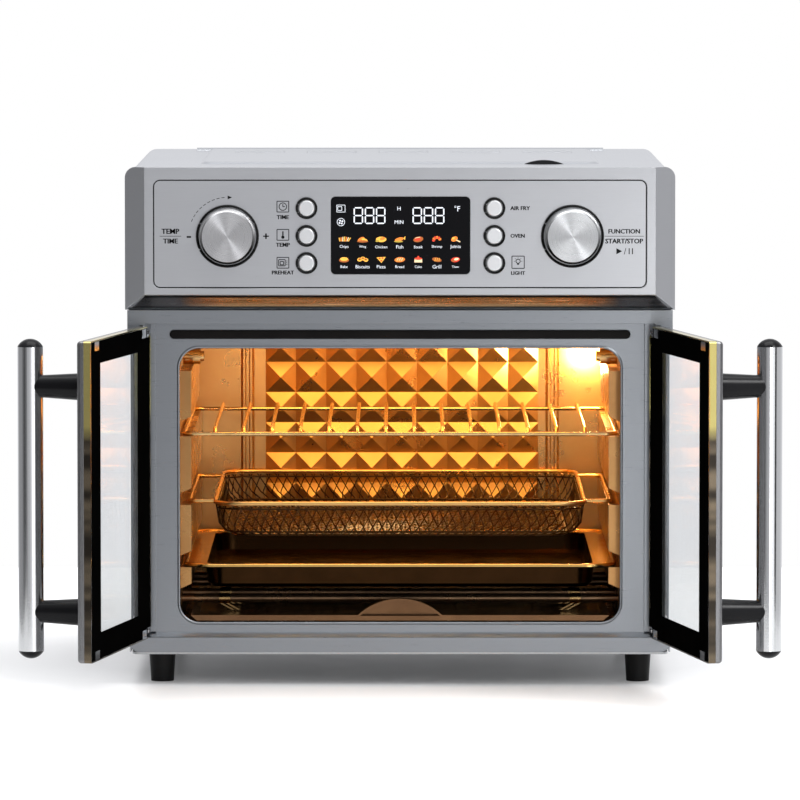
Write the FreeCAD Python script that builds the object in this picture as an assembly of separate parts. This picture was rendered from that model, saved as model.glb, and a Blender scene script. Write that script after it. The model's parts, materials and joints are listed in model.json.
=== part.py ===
import FreeCAD, Part

import math
import os

os.makedirs("parts", exist_ok=True)
Vector = FreeCAD.Vector

# A countertop oven with two side-hinged doors, standing open.
# Lengths are in millimetres. X is to the right, Y to the back, Z up.
# Depths are first counted from the front plane of the lower bezel (depth 0),
# and every piece is moved by ORIGIN_SHIFT when it is written, so that the
# origin ends up on the ground under the middle of the open oven.
ORIGIN_SHIFT = -98.057

# ---- driving dimensions: body ----
FOOT_HEIGHT = 25.0
BASE_Z = 27.0                 # underside of the casing
TOP_Z = 416.8                 # top of the casing
CASING_HALF = 217.0
CASING_SHEET = 1.2
CASING_FRONT = 3.0
CASING_BACK = 388.0
CASING_CORNER = 10.0
TOP_PANEL_HALF = 158.0        # raised panel on top
TOP_PANEL_FRONT = 62.0
TOP_PANEL_BACK = 366.0
TOP_PANEL_RISE = 1.6
LOUVRE_PITCH = 60.0
LOUVRE_LENGTH = 42.0
LOUVRE_WIDTH = 4.0
SPACER_LENGTH = 10.0

# ---- lower bezel and door recess ----
BEZEL_HALF = 218.2
BEZEL_TOP = 302.0
BEZEL_DEPTH = 12.0
BEZEL_WALL = 1.4
BEZEL_CORNER = 10.0
RECESS_HALF = 204.4
RECESS_LOW = 38.8
RECESS_HIGH = 291.0
RECESS_DEPTH = 9.0
LEDGE_RISE = 3.7              # the recess floor slopes up by this much
OPENING_HALF = 177.0
OPENING_LOW = 50.0
OPENING_HIGH = 271.3
OPENING_CORNER = 16.0
LIP_RADIUS = 1.1

# ---- control housing ----
HOUSING_HALF = 220.0
HOUSING_FRONT_HALF = 204.0
HOUSING_PROUD = 14.0
HOUSING_LOW = 302.3
HOUSING_FRONT_LOW = 315.2
HOUSING_SHEET = 1.3
HOUSING_BACK = 2.0
PANEL_HALF = 197.0            # recessed panel outline
PANEL_LOW = 320.3
PANEL_HIGH = 407.1
PANEL_CORNER = 5.5
PANEL_RECESS = 0.8
CONTROL_Z = 361.9
KNOB_X = 137.6
KNOB_RING_RADIUS = 25.0
KNOB_SKIRT_RADIUS = 22.2
KNOB_FACE_RADIUS = 20.0
KNOB_LENGTH = 12.5
SHAFT_RADIUS = 3.0
SHAFT_REAR = -5.2             # depth of the inner end of the knob shafts
BUTTON_X = {"left": -74.5, "right": 75.3}
BUTTON_ROWS = (384.3, 362.2, 340.5)
BUTTON_RADIUS = 6.2
BUTTON_RING_RADIUS = 8.6
BUTTON_TRAVEL = 1.2
BOARD_FRONT = -3.5            # circuit board behind the panel
BOARD_BACK = -1.9
DISPLAY_LEFT = -55.2
DISPLAY_RIGHT = 56.0
DISPLAY_LOW = 331.5
DISPLAY_HIGH = 393.5

# ---- doors ----
HINGE_X = 204.0
HINGE_DEPTH = -1.5
DOOR_GAP = 0.6                # from the hinge axis to the door's near edge
DOOR_WIDTH = 203.0            # from the hinge axis to the free edge
DOOR_LOW = 39.5
DOOR_HIGH = 289.7
DOOR_OUT = 6.5                # outer face, in front of the hinge axis
DOOR_IN = 4.8                 # inner face, behind the hinge axis
DOOR_SPLIT = 0.8              # where the outer tray meets the polished inner rim
DOOR_OPEN = 101.3             # how far the doors stand open, degrees
WINDOW_NEAR = 26.0            # opening of the outer frame
WINDOW_FAR = 156.0
WINDOW_LOW = 57.0
WINDOW_HIGH = 273.0
HANDLE_RADIUS = 10.0
HANDLE_LENGTH = 237.6
HANDLE_FROM_EDGE = 33.0
HANDLE_STAND = 45.0           # tube centre from the outer face
HANDLE_Z = 164.2
CAP_HEIGHT = 6.2
STANDOFF_HALF = 88.0
STANDOFF_ROOT = 10.9           # radius at the door
STANDOFF_TIP = 8.2             # radius at the tube

# ---- cavity ----
CAVITY_HALF = 177.0
CAVITY_FRONT = 11.4
CAVITY_BACK = 345.0
CAVITY_FLOOR = 45.0
CAVITY_ROOF = 285.0
SHEET = 1.0
PYRAMID_COLUMNS = 9
PYRAMID_ROWS = 6
PYRAMID_SIZE = 25.7
PYRAMID_RISE = 6.0
PYRAMID_LOW = 109.2
PYRAMID_LEFT = -114.0
RIB_IN = 123.5
RIB_OUT = 135.0

# ---- racks and trays ----
RACK_Z = 200.8
RACK_HALF = 173.8
RACK_FRONT = 25.0
RACK_BACK = 305.0
RACK_WIRE = 1.65
RACK_SECOND_WIRE = 8.0         # second side wire, in from the first
RACK_BARS = 14
RACK_BAR_PITCH = 22.9
BASKET_Z = 145.5
BASKET_HALF = 150.0
BASKET_FRONT = 12.0
BASKET_BACK = 335.0
BASKET_DEPTH = 27.0
BASKET_CORNER = 25.0
BASKET_SHEET = 0.8
BASKET_RAIL = 170.0
PAN_Z = 95.6
PAN_HALF = 174.4
PAN_BODY_HALF = 157.0
PAN_FRONT = 12.0
PAN_BACK = 331.0
PAN_DEPTH = 18.6
PAN_CORNER = 24.0
PAN_SHEET = 1.0
PAN_RIM_WIRE = 1.7
TRAY_Z = 52.0
TRAY_HALF = 163.5
TRAY_SHEET = 0.7
TRAY_FLARE = 5.0
TRAY_FRONT = 12.5
TRAY_BACK = 336.0
TRAY_LIP = 3.6
PULL_HALF = 34.5               # arched pull of the crumb tray
PULL_RISE = 13.9
PULL_DEPTH = 9.0
HEATER_RADIUS = 3.3
HEATER_DEPTHS = (82.0, 131.0, 221.0, 270.0)
LOWER_HEATER_Z = 62.5
UPPER_HEATER_Z = 271.0
GUIDE_REACH = 9.0             # how far the pressed panels stand in from the wall
GUIDE_SLOPE = 4.0
GUIDE_FRONT = 26.0
GUIDE_BACK = 338.0
GUIDE_TOP = 251.5
GUIDE_LOW = 75.8

# ---- fan ----
FAN_DEPTH = 185.0
FAN_RADIUS = 62.0
FAN_CHAMBER_RADIUS = 84.0
FAN_CHAMBER_TOP = 322.0
MOTOR_SEAT = 330.0
LAMP_DEPTH = 292.0
LAMP_Z = 244.0


# ---------------------------------------------------------------- helpers
def block(x0, x1, y0, y1, z0, z1):
    """A box between two corners."""
    return Part.makeBox(x1 - x0, y1 - y0, z1 - z0, Vector(x0, y0, z0))


def rod(radius, start, end):
    """A round bar from one point to another."""
    run = Vector(*end) - Vector(*start)
    return Part.makeCylinder(radius, run.Length, Vector(*start), run)


def tube(outer, inner, start, end):
    """A round bar with a round hole through it."""
    run = (Vector(*end) - Vector(*start)).normalize()
    bore_start = Vector(*start) - run
    bore_end = Vector(*end) + run
    return rod(outer, start, end).cut(rod(inner, tuple(bore_start), tuple(bore_end)))


def fuse(pieces):
    """One solid from several that meet."""
    whole = pieces[0].multiFuse(pieces[1:]) if len(pieces) > 1 else pieces[0]
    return whole.removeSplitter()


def group(pieces):
    """Separate solids kept in one node."""
    return Part.makeCompound(pieces)


def mirror(shape):
    """The same piece on the other side of the oven."""
    return shape.mirror(Vector(0, 0, 0), Vector(1, 0, 0))


def rounded_outline(a0, a1, b0, b1, radius):
    """Edges of a rectangle with round corners, in the XY plane."""
    middle = radius * (1 - math.sqrt(0.5))
    corners = (
        (a1, b0, -1, 1),
        (a1, b1, -1, -1),
        (a0, b1, 1, -1),
        (a0, b0, 1, 1),
    )
    edges = []
    arcs = []
    for a, b, inward_a, inward_b in corners:
        along = Vector(a + inward_a * radius, b, 0)
        across = Vector(a, b + inward_b * radius, 0)
        mid = Vector(a + inward_a * middle, b + inward_b * middle, 0)
        first, last = (along, across) if inward_a != inward_b else (across, along)
        arcs.append((first, mid, last))
    for number, (first, mid, last) in enumerate(arcs):
        edges.append(Part.Arc(first, mid, last).toShape())
        following = arcs[(number + 1) % len(arcs)][0]
        if (following - last).Length > 1e-6:
            edges.append(Part.makeLine(last, following))
    return Part.Wire(edges)


def upright_wire(x0, x1, z0, z1, radius, depth):
    """A rounded rectangle standing in an XZ plane at the given depth."""
    wire = rounded_outline(x0, x1, z0, z1, radius)
    wire.rotate(Vector(0, 0, 0), Vector(1, 0, 0), 90)
    wire.translate(Vector(0, depth, 0))
    return wire


def upright_plate(x0, x1, z0, z1, radius, y0, y1):
    """A rounded plate standing in the XZ plane, between two depths."""
    face = Part.Face(upright_wire(x0, x1, z0, z1, radius, y0))
    return face.extrude(Vector(0, y1 - y0, 0))


def flat_plate(x0, x1, y0, y1, radius, z0, z1):
    """A rounded plate lying in the XY plane, between two heights."""
    wire = rounded_outline(x0, x1, y0, y1, radius)
    wire.translate(Vector(0, 0, z0))
    return Part.Face(wire).extrude(Vector(0, 0, z1 - z0))


def prism(points, run):
    """A solid with a straight-sided outline, extruded along a vector."""
    corners = [Vector(*point) for point in points]
    outline = Part.makePolygon(corners + corners[:1])
    return Part.Face(outline).extrude(Vector(*run))


def swept_wire(path, radius):
    """A round wire along a path of lines and arcs."""
    start = path.OrderedEdges[0]
    first = start.valueAt(start.FirstParameter)
    heading = start.tangentAt(start.FirstParameter)
    ring = Part.Wire(Part.makeCircle(radius, first, heading))
    return path.makePipeShell([ring], True, True)


def round_bar_loop(x0, x1, y0, y1, corner, height, radius):
    """A closed loop of round wire with round corners, lying flat."""
    path = rounded_outline(x0, x1, y0, y1, corner)
    path.translate(Vector(0, 0, height))
    return swept_wire(path, radius)


def bent_wire(points, bend, radius):
    """A round wire through the given corners, each rounded by the same bend."""
    corners = [Vector(*point) for point in points]
    edges = []
    cursor = corners[0]
    for before, corner, after in zip(corners, corners[1:], corners[2:]):
        back = (before - corner).normalize()
        onward = (after - corner).normalize()
        half_turn = back.getAngle(onward) / 2
        reach = bend / math.tan(half_turn)
        first = corner + back * reach
        last = corner + onward * reach
        bisector = (back + onward).normalize()
        middle = corner + bisector * (bend / math.sin(half_turn) - bend)
        if (first - cursor).Length > 1e-6:
            edges.append(Part.makeLine(cursor, first))
        edges.append(Part.Arc(first, middle, last).toShape())
        cursor = last
    edges.append(Part.makeLine(cursor, corners[-1]))
    return swept_wire(Part.Wire(edges), radius)


def screw(x, y, z, direction, head=3.4, length=8.0):
    """A pan-head screw; direction points from the head into the work."""
    inward = Vector(*direction).normalize()
    seat = Vector(x, y, z)
    shank = Part.makeCylinder(1.6, length, seat, inward)
    dome = Part.makeCylinder(head, 1.8, seat - inward * 1.8, inward)
    return fuse([dome, shank])


def save(name, shape):
    """Write one node, moved so that the origin is under the oven's middle."""
    placed = shape.copy()
    placed.translate(Vector(0, ORIGIN_SHIFT, 0))
    placed.exportStep("parts/" + name + ".step")


# ---------------------------------------------------------------- casing
def louvre_slots(height):
    """Five groups of parallel slots near the back of the top panel."""
    slots = []
    for column in range(-2, 3):
        for row in range(4):
            middle = 3.0 + column * LOUVRE_PITCH
            depth = 252.0 + row * 14.0
            slots.append(
                flat_plate(
                    middle - LOUVRE_LENGTH / 2,
                    middle + LOUVRE_LENGTH / 2,
                    depth,
                    depth + LOUVRE_WIDTH,
                    LOUVRE_WIDTH / 2 - 0.05,
                    height - 6,
                    height + 6,
                )
            )
    return slots


def make_casing():
    outer = upright_plate(
        -CASING_HALF, CASING_HALF, BASE_Z - 40, TOP_Z, CASING_CORNER, CASING_FRONT, CASING_BACK
    )
    inner = upright_plate(
        -CASING_HALF + CASING_SHEET,
        CASING_HALF - CASING_SHEET,
        BASE_Z - 60,
        TOP_Z - CASING_SHEET,
        CASING_CORNER - CASING_SHEET,
        CASING_FRONT - 1,
        CASING_BACK + 1,
    )
    below = block(-300, 300, -10, 400, BASE_Z - 100, BASE_Z)
    shell = outer.cut(inner).cut(below)
    slope = TOP_PANEL_RISE * 2
    low = rounded_outline(
        -TOP_PANEL_HALF - slope,
        TOP_PANEL_HALF + slope,
        TOP_PANEL_FRONT - slope,
        TOP_PANEL_BACK + slope,
        8,
    )
    low.translate(Vector(0, 0, TOP_Z))
    high = rounded_outline(
        -TOP_PANEL_HALF, TOP_PANEL_HALF, TOP_PANEL_FRONT, TOP_PANEL_BACK, 6
    )
    high.translate(Vector(0, 0, TOP_Z + TOP_PANEL_RISE))
    raised = Part.makeLoft([low, high], True, True)
    hollow = flat_plate(
        -TOP_PANEL_HALF + 1,
        TOP_PANEL_HALF - 1,
        TOP_PANEL_FRONT + 1,
        TOP_PANEL_BACK - 1,
        5,
        TOP_Z - 5,
        TOP_Z + TOP_PANEL_RISE - CASING_SHEET,
    )
    ridge_core = rod(9.0, (-172, 352, TOP_Z - 6.6), (172, 352, TOP_Z - 6.6))
    ridge = ridge_core.common(block(-180, 180, 330, 370, TOP_Z - 0.6, TOP_Z + 20))
    casing = shell.multiFuse([raised, ridge]).cut(hollow)
    for slot in louvre_slots(TOP_Z):
        casing = casing.cut(slot)
    for side in (-1, 1):
        for row in range(7):
            depth = 250.0 + row * 14.0
            vent = block(
                side * CASING_HALF - 4,
                side * CASING_HALF + 4,
                depth,
                depth + 4.0,
                335,
                380,
            )
            casing = casing.cut(vent)
    return casing.removeSplitter()


def make_vent_tab():
    """Black half-moon insert at the front edge of the raised top panel."""
    middle = 116.0
    half = 15.8
    rise = 3.2
    low = TOP_Z + 0.05
    front = TOP_PANEL_FRONT - 11
    arc = Part.Arc(
        Vector(middle - half, front, low),
        Vector(middle, front, low + rise),
        Vector(middle + half, front, low),
    ).toShape()
    chord = Part.makeLine(
        Vector(middle + half, front, low), Vector(middle - half, front, low)
    )
    return Part.Face(Part.Wire([arc, chord])).extrude(Vector(0, 7, 0))


def make_base_plate():
    plate = flat_plate(-215, 215, 4, 386, 6, BASE_Z - 2, BASE_Z - 0.1)
    for row in range(6):
        for column in range(7):
            slot = flat_plate(
                -132 + column * 40,
                -108 + column * 40,
                110 + row * 30,
                114 + row * 30,
                1.9,
                BASE_Z - 5,
                BASE_Z + 5,
            )
            plate = plate.cut(slot)
    return plate


def make_feet():
    """Four tapered feet with a plug that enters the base plate's underside."""
    feet = []
    for x in (-192.0, 192.0):
        for y in (40.0, 348.0):
            taper = Part.makeLoft(
                [
                    Part.Wire(Part.makeCircle(9.2, Vector(x, y, 0))),
                    Part.Wire(Part.makeCircle(10.8, Vector(x, y, FOOT_HEIGHT))),
                ],
                True,
                True,
            )
            dish = Part.makeCylinder(3.6, 12.0, Vector(x, y, -0.5))
            feet.append(taper.cut(dish).cut(Part.makeCylinder(1.7, 30, Vector(x, y, 0))))
    return group(feet)


def make_rear_cover():
    cover = upright_plate(-214.5, 214.5, BASE_Z + 1, TOP_Z - 2.4, 8, 385.4, 386.8)
    field = upright_plate(-170, 170, 60, 290, 10, 386.6, 389.0)
    back = upright_plate(-169, 169, 61, 289, 9, 385.0, 387.8)
    cover = fuse([cover, field]).cut(back)
    for row in range(4):
        for column in range(12):
            slot = upright_plate(
                -154 + column * 28,
                -134 + column * 28,
                318 + row * 16,
                322 + row * 16,
                1.9,
                380,
                392,
            )
            cover = cover.cut(slot)
    for x, z in rear_screw_seats():
        cover = cover.cut(rod(1.8, (x, 380, z), (x, 395, z)))
    return cover.cut(rod(9.1, (-180, 380, 334), (-180, 395, 334)))


def rear_screw_seats():
    """Where the rear cover's screws sit, as x and z."""
    seats = [(x, z) for x in (-205.0, 0.0, 205.0) for z in (40.0, 404.0)]
    return seats + [(x, 215.0) for x in (-205.0, 205.0)]


def make_rear_spacers():
    """Two bumpers that keep the oven off the wall."""
    spacers = []
    for side in (-1, 1):
        foot = rod(9.0, (side * 120, 389.0, 180), (side * 120, 391.0, 180))
        nose = Part.makeCone(
            8.0, 6.5, SPACER_LENGTH - 3.2, Vector(side * 120, 391.0, 180), Vector(0, 1, 0)
        )
        spacers.append(fuse([foot, nose]))
    return group(spacers)


def make_cable_gland():
    """The bush where the mains lead enters the back."""
    flange = rod(13.0, (-180, 386.8, 334), (-180, 389.6, 334))
    neck = rod(9.0, (-180, 380.0, 334), (-180, 386.8, 334))
    nose = Part.makeCone(8.5, 6.5, 8.2, Vector(-180, 389.6, 334), Vector(0, 1, 0))
    return fuse([flange, neck, nose]).cut(rod(4.0, (-180, 370, 334), (-180, 400, 334)))


def make_screws():
    """Screws of the rear cover and of the feet."""
    screws = [screw(x, 386.8, z, (0, -1, 0), 3.4, 7.0) for x, z in rear_screw_seats()]
    for x in (-192.0, 192.0):
        for y in (40.0, 348.0):
            screws.append(screw(x, y, 11.5, (0, 0, 1), 3.2, 13.4))
    return group(screws)


# ---------------------------------------------------------------- front
def make_front_bezel():
    body = upright_plate(
        -BEZEL_HALF, BEZEL_HALF, BASE_Z, BEZEL_TOP + 30, BEZEL_CORNER, 0, BEZEL_DEPTH
    )
    body = body.cut(block(-300, 300, -5, 20, BEZEL_TOP, BEZEL_TOP + 60))
    # a step, so that the rear half slides inside the casing
    skirt = upright_plate(
        -CASING_HALF + CASING_SHEET + 0.3,
        CASING_HALF - CASING_SHEET - 0.3,
        BASE_Z + 1.4,
        BEZEL_TOP + 30,
        BEZEL_CORNER - 2,
        CASING_FRONT - 0.2,
        BEZEL_DEPTH + 1,
    )
    front_slab = block(-300, 300, -5, CASING_FRONT - 0.2, 0, 500)
    body = body.cut(front_slab).common(skirt).fuse(body.common(front_slab))
    # the door recess, with its sloped ledge along the bottom
    recess = prism(
        [
            (-RECESS_HALF, -5, RECESS_LOW),
            (-RECESS_HALF, 3.9, RECESS_LOW),
            (-RECESS_HALF, RECESS_DEPTH, RECESS_LOW + LEDGE_RISE),
            (-RECESS_HALF, RECESS_DEPTH, RECESS_HIGH),
            (-RECESS_HALF, -5, RECESS_HIGH),
        ],
        (2 * RECESS_HALF, 0, 0),
    )
    body = body.cut(recess)
    for side in (-1, 1):
        trim = block(
            min(side * 196.0, side * 200.2),
            max(side * 196.0, side * 200.2),
            RECESS_DEPTH - 2.0,
            RECESS_DEPTH,
            RECESS_LOW + LEDGE_RISE + 0.5,
            RECESS_HIGH,
        )
        body = body.fuse(trim)
    # hollow behind the margins
    wall = BEZEL_WALL
    for side in (-1, 1):
        pocket = block(
            min(side * (RECESS_HALF + wall), side * (CASING_HALF - 3.0)),
            max(side * (RECESS_HALF + wall), side * (CASING_HALF - 3.0)),
            wall,
            BEZEL_DEPTH + 1,
            RECESS_LOW,
            BEZEL_TOP - wall,
        )
        body = body.cut(pocket)
    body = body.cut(
        block(-200, 200, wall, BEZEL_DEPTH + 1, RECESS_HIGH + wall, BEZEL_TOP - wall)
    )
    body = body.cut(
        block(-200, 200, wall, BEZEL_DEPTH + 1, BASE_Z + 3.0, RECESS_LOW - wall)
    )
    opening = upright_plate(
        -OPENING_HALF,
        OPENING_HALF,
        OPENING_LOW,
        OPENING_HIGH,
        OPENING_CORNER,
        -5,
        BEZEL_DEPTH + 5,
    )
    body = body.cut(opening)
    thin_back = upright_plate(
        -198, 198, OPENING_LOW - 6.5, 288, 18, CAVITY_FRONT, BEZEL_DEPTH + 1
    )
    body = body.cut(thin_back)
    # the rolled lip round the opening
    path = upright_wire(
        -OPENING_HALF - LIP_RADIUS * 0.5,
        OPENING_HALF + LIP_RADIUS * 0.5,
        OPENING_LOW - LIP_RADIUS * 0.5,
        OPENING_HIGH + LIP_RADIUS * 0.5,
        OPENING_CORNER + LIP_RADIUS * 0.5,
        RECESS_DEPTH + 0.4,
    )
    body = body.fuse(swept_wire(path, LIP_RADIUS))
    # a groove for the rubber strip, and room for the hinge eyes
    body = body.cut(
        upright_plate(-184.7, 184.7, 278.5, 285.7, 3.5, RECESS_DEPTH - 1, RECESS_DEPTH + 1.0)
    )
    for side in (-1, 1):
        for low, high in hinge_levels():
            body = body.cut(
                rod(
                    4.6,
                    (side * HINGE_X, HINGE_DEPTH, low - 3.8),
                    (side * HINGE_X, HINGE_DEPTH, high + 3.8),
                )
            )
    return body.removeSplitter()


def make_seal_strip():
    strip = upright_plate(-184.4, 184.4, 278.8, 285.4, 3.2, RECESS_DEPTH - 2.2, RECESS_DEPTH + 1.0)
    return strip.makeFillet(0.9, front_edges(strip, RECESS_DEPTH - 2.2))


def front_edges(shape, depth):
    """Edges that lie in the upright plane at one depth."""
    found = []
    for edge in shape.Edges:
        box = edge.BoundBox
        if abs(box.YMin - depth) < 1e-4 and abs(box.YMax - depth) < 1e-4:
            found.append(edge)
    return found


def upright_rectangle(half, low, high, depth):
    """A rectangle about the middle of the oven, standing at one depth."""
    corners = [
        Vector(-half, depth, low),
        Vector(half, depth, low),
        Vector(half, depth, high),
        Vector(-half, depth, high),
    ]
    return Part.makePolygon(corners + corners[:1])


def housing_solid(inset):
    """The control housing's outer form, or the same form inset by a sheet."""
    front = upright_rectangle(
        HOUSING_FRONT_HALF - inset * 0.6,
        HOUSING_FRONT_LOW + inset * 0.6,
        TOP_Z - inset,
        -HOUSING_PROUD + inset,
    )
    back = upright_rectangle(
        HOUSING_HALF - inset * 1.3, HOUSING_LOW + inset * 1.3, TOP_Z - inset, HOUSING_BACK
    )
    form = Part.makeLoft([front, back], True, True)
    rounded = upright_plate(
        -HOUSING_HALF + inset,
        HOUSING_HALF - inset,
        HOUSING_LOW - 40,
        TOP_Z - inset,
        9.0 - inset,
        -HOUSING_PROUD - 2,
        HOUSING_BACK + 2,
    )
    return form.common(rounded)


def panel_holes():
    """Holes through the panel for the window, buttons and knob shafts."""
    holes = [
        upright_plate(
            DISPLAY_LEFT, DISPLAY_RIGHT, DISPLAY_LOW, DISPLAY_HIGH, 3.6, -20, -5
        )
    ]
    for x in BUTTON_X.values():
        for z in BUTTON_ROWS:
            holes.append(rod(BUTTON_RADIUS + 0.35, (x, -20, z), (x, -5, z)))
    for side in (-1, 1):
        holes.append(
            rod(SHAFT_RADIUS + 0.5, (side * KNOB_X, -20, CONTROL_Z), (side * KNOB_X, -5, CONTROL_Z))
        )
    return holes


def make_control_housing():
    shell = housing_solid(0).cut(housing_solid(HOUSING_SHEET))
    back_room = upright_plate(
        -HOUSING_HALF + 3.2, HOUSING_HALF - 3.2, HOUSING_LOW + 3.4, TOP_Z - 1.5, 6, -1.0, 10
    )
    shell = shell.cut(back_room)
    recess = upright_plate(
        -PANEL_HALF,
        PANEL_HALF,
        PANEL_LOW,
        PANEL_HIGH,
        PANEL_CORNER,
        -HOUSING_PROUD - 1,
        -HOUSING_PROUD + PANEL_RECESS,
    )
    backing = upright_plate(
        -PANEL_HALF - 1.2,
        PANEL_HALF + 1.2,
        PANEL_LOW - 1.2,
        PANEL_HIGH + 1.2,
        PANEL_CORNER + 1.2,
        -HOUSING_PROUD + PANEL_RECESS - 0.2,
        -HOUSING_PROUD + PANEL_RECESS + HOUSING_SHEET,
    )
    shell = shell.fuse(backing).cut(recess)
    for hole in panel_holes():
        shell = shell.cut(hole)
    return shell.removeSplitter()


def make_brow_trim():
    """Polished strip lying on the housing's bottom bevel."""
    rise = HOUSING_FRONT_LOW - HOUSING_LOW
    run = HOUSING_PROUD + HOUSING_BACK
    length = math.hypot(rise, run)
    normal = Vector(0, -rise / length, -run / length)

    def on_bevel(share, inset):
        half = HOUSING_FRONT_HALF + (HOUSING_HALF - HOUSING_FRONT_HALF) * share - inset
        depth = -HOUSING_PROUD + run * share
        height = HOUSING_FRONT_LOW - rise * share
        return half, depth, height

    near_half, near_depth, near_height = on_bevel(0.08, 1.6)
    far_half, far_depth, far_height = on_bevel(0.84, 3.4)
    corners = [
        Vector(-near_half, near_depth, near_height),
        Vector(near_half, near_depth, near_height),
        Vector(far_half, far_depth, far_height),
        Vector(-far_half, far_depth, far_height),
    ]
    face = Part.Face(Part.makePolygon(corners + corners[:1]))
    strip = face.extrude(normal * 0.5)
    strip.translate(normal * 0.01)
    return strip


def make_display_window():
    face = -HOUSING_PROUD + PANEL_RECESS - 0.7
    lens = upright_plate(
        DISPLAY_LEFT + 0.15,
        DISPLAY_RIGHT - 0.15,
        DISPLAY_LOW + 0.15,
        DISPLAY_HIGH - 0.15,
        3.5,
        face,
        face + 2.6,
    )
    return lens.makeFillet(0.4, front_edges(lens, face))


def panel_face():
    """Depth of the recessed panel's front surface."""
    return -HOUSING_PROUD + PANEL_RECESS


def make_ring(outer, inner, x, z, proud):
    """A raised ring on the panel with a rounded front edge."""
    face = panel_face()
    ring = tube(outer, inner, (x, face, z), (x, face - proud, z))
    return ring.makeFillet(0.8, front_edges(ring, face - proud))


def make_control_rings():
    """Raised collars round both knobs and the six buttons."""
    rings = []
    for side in (-1, 1):
        rings.append(
            make_ring(KNOB_RING_RADIUS, KNOB_SKIRT_RADIUS + 0.7, side * KNOB_X, CONTROL_Z, 2.6)
        )
    for x in BUTTON_X.values():
        for z in BUTTON_ROWS:
            rings.append(make_ring(BUTTON_RING_RADIUS, BUTTON_RADIUS + 0.35, x, z, 2.4))
    return group(rings)


def make_knob(side):
    """A turned knob with its shaft: skirt, waist groove, face with a dimple."""
    x = side * KNOB_X
    back = panel_face() - 2.2
    front = back - KNOB_LENGTH
    outline = [
        (0.0, back - 1.0),
        (6.0, back - 1.0),
        (6.0, back - 2.2),
        (KNOB_SKIRT_RADIUS - 2.0, back - 2.2),
        (KNOB_SKIRT_RADIUS - 2.0, back),
        (KNOB_SKIRT_RADIUS, back),
        (KNOB_SKIRT_RADIUS, back - 2.6),
        (KNOB_SKIRT_RADIUS - 1.2, back - 3.2),
        (KNOB_SKIRT_RADIUS - 1.0, front + 1.2),
        (KNOB_FACE_RADIUS, front),
        (0.0, front),
    ]
    corners = [Vector(x + radius, depth, CONTROL_Z) for radius, depth in outline]
    profile = Part.Face(Part.makePolygon(corners + corners[:1]))
    knob = profile.revolve(Vector(x, 0, CONTROL_Z), Vector(0, 1, 0), 360)
    dimple = Part.makeCylinder(
        1.7, 2.0, Vector(x + 10.2, front - 1.0, CONTROL_Z + 10.2), Vector(0, 1, 0)
    )
    shaft = rod(SHAFT_RADIUS, (x, back - 4.0, CONTROL_Z), (x, SHAFT_REAR, CONTROL_Z))
    return fuse([knob.cut(dimple), shaft])


def make_encoders():
    """Rotary encoders behind the panel; the shafts turn inside them."""
    bodies = []
    for side in (-1, 1):
        x = side * KNOB_X
        can = block(x - 8, x + 8, -11.5, BOARD_FRONT, CONTROL_Z - 8, CONTROL_Z + 8)
        bush = rod(5.0, (x, -11.8, CONTROL_Z), (x, -11.5, CONTROL_Z))
        bore = rod(SHAFT_RADIUS + 0.06, (x, -20, CONTROL_Z), (x, 20, CONTROL_Z))
        bodies.append(fuse([can, bush]).cut(bore))
    return group(bodies)


def make_start_plunger():
    """The push rod behind the right knob's shaft, under the start switch."""
    return rod(2.4, (KNOB_X, -5.0, CONTROL_Z), (KNOB_X, 1.2, CONTROL_Z))


def make_switches():
    """Six button switches on the board, and the start switch on its bridge."""
    switches = []
    for x in BUTTON_X.values():
        for z in BUTTON_ROWS:
            switches.append(block(x - 3, x + 3, -5.4, BOARD_FRONT, z - 3, z + 3))
    can = block(KNOB_X - 5, KNOB_X + 5, 2.7, 7.0, CONTROL_Z - 5, CONTROL_Z + 5)
    posts = [
        block(KNOB_X - 9, KNOB_X - 5, BOARD_BACK, 7.0, CONTROL_Z - 3, CONTROL_Z + 3),
        block(KNOB_X + 5, KNOB_X + 9, BOARD_BACK, 7.0, CONTROL_Z - 3, CONTROL_Z + 3),
    ]
    switches.append(fuse([can] + posts))
    return group(switches)


def make_button(x, z):
    """A push button: crowned cap, retaining flange, stem."""
    face = panel_face() - 3.6
    cap = rod(BUTTON_RADIUS, (x, face, z), (x, -11.0, z))
    cap = cap.makeFillet(0.9, front_edges(cap, face))
    flange = rod(7.4, (x, -11.0, z), (x, -10.0, z))
    stem = rod(1.8, (x, -10.0, z), (x, -6.8, z))
    return fuse([cap, flange, stem])


def make_control_board():
    """Circuit board with the display module on its front."""
    board = block(-158, 158, BOARD_FRONT, BOARD_BACK, 326, 398)
    for side in (-1, 1):
        x = side * KNOB_X
        hole = rod(SHAFT_RADIUS + 0.6, (x, -6, CONTROL_Z), (x, 2, CONTROL_Z))
        board = board.cut(hole)
    display = block(-52, 52, -10.6, BOARD_FRONT, 333, 388)
    connector = block(-70, -48, BOARD_BACK, 6.0, 372, 390)
    chip = block(-20, 20, BOARD_BACK, 1.0, 350, 372)
    parts = [board, display, connector, chip]
    for number in range(5):
        x = 30 + number * 16
        parts.append(rod(5.0, (x, BOARD_BACK, 385), (x, 12.0, 385)))
    return fuse(parts)


# ---------------------------------------------------------------- doors
def hinge_levels():
    """Heights of the lower and upper hinge ears."""
    return ((DOOR_LOW + 3.8, DOOR_LOW + 6.0), (DOOR_HIGH - 6.0, DOOR_HIGH - 3.8))


def door_block(u0, u1, a0, a1, z0, z1):
    """A box on the closed left door: u from the hinge, a outwards."""
    return block(
        -HINGE_X + u0, -HINGE_X + u1, HINGE_DEPTH - a1, HINGE_DEPTH - a0, z0, z1
    )


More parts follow.
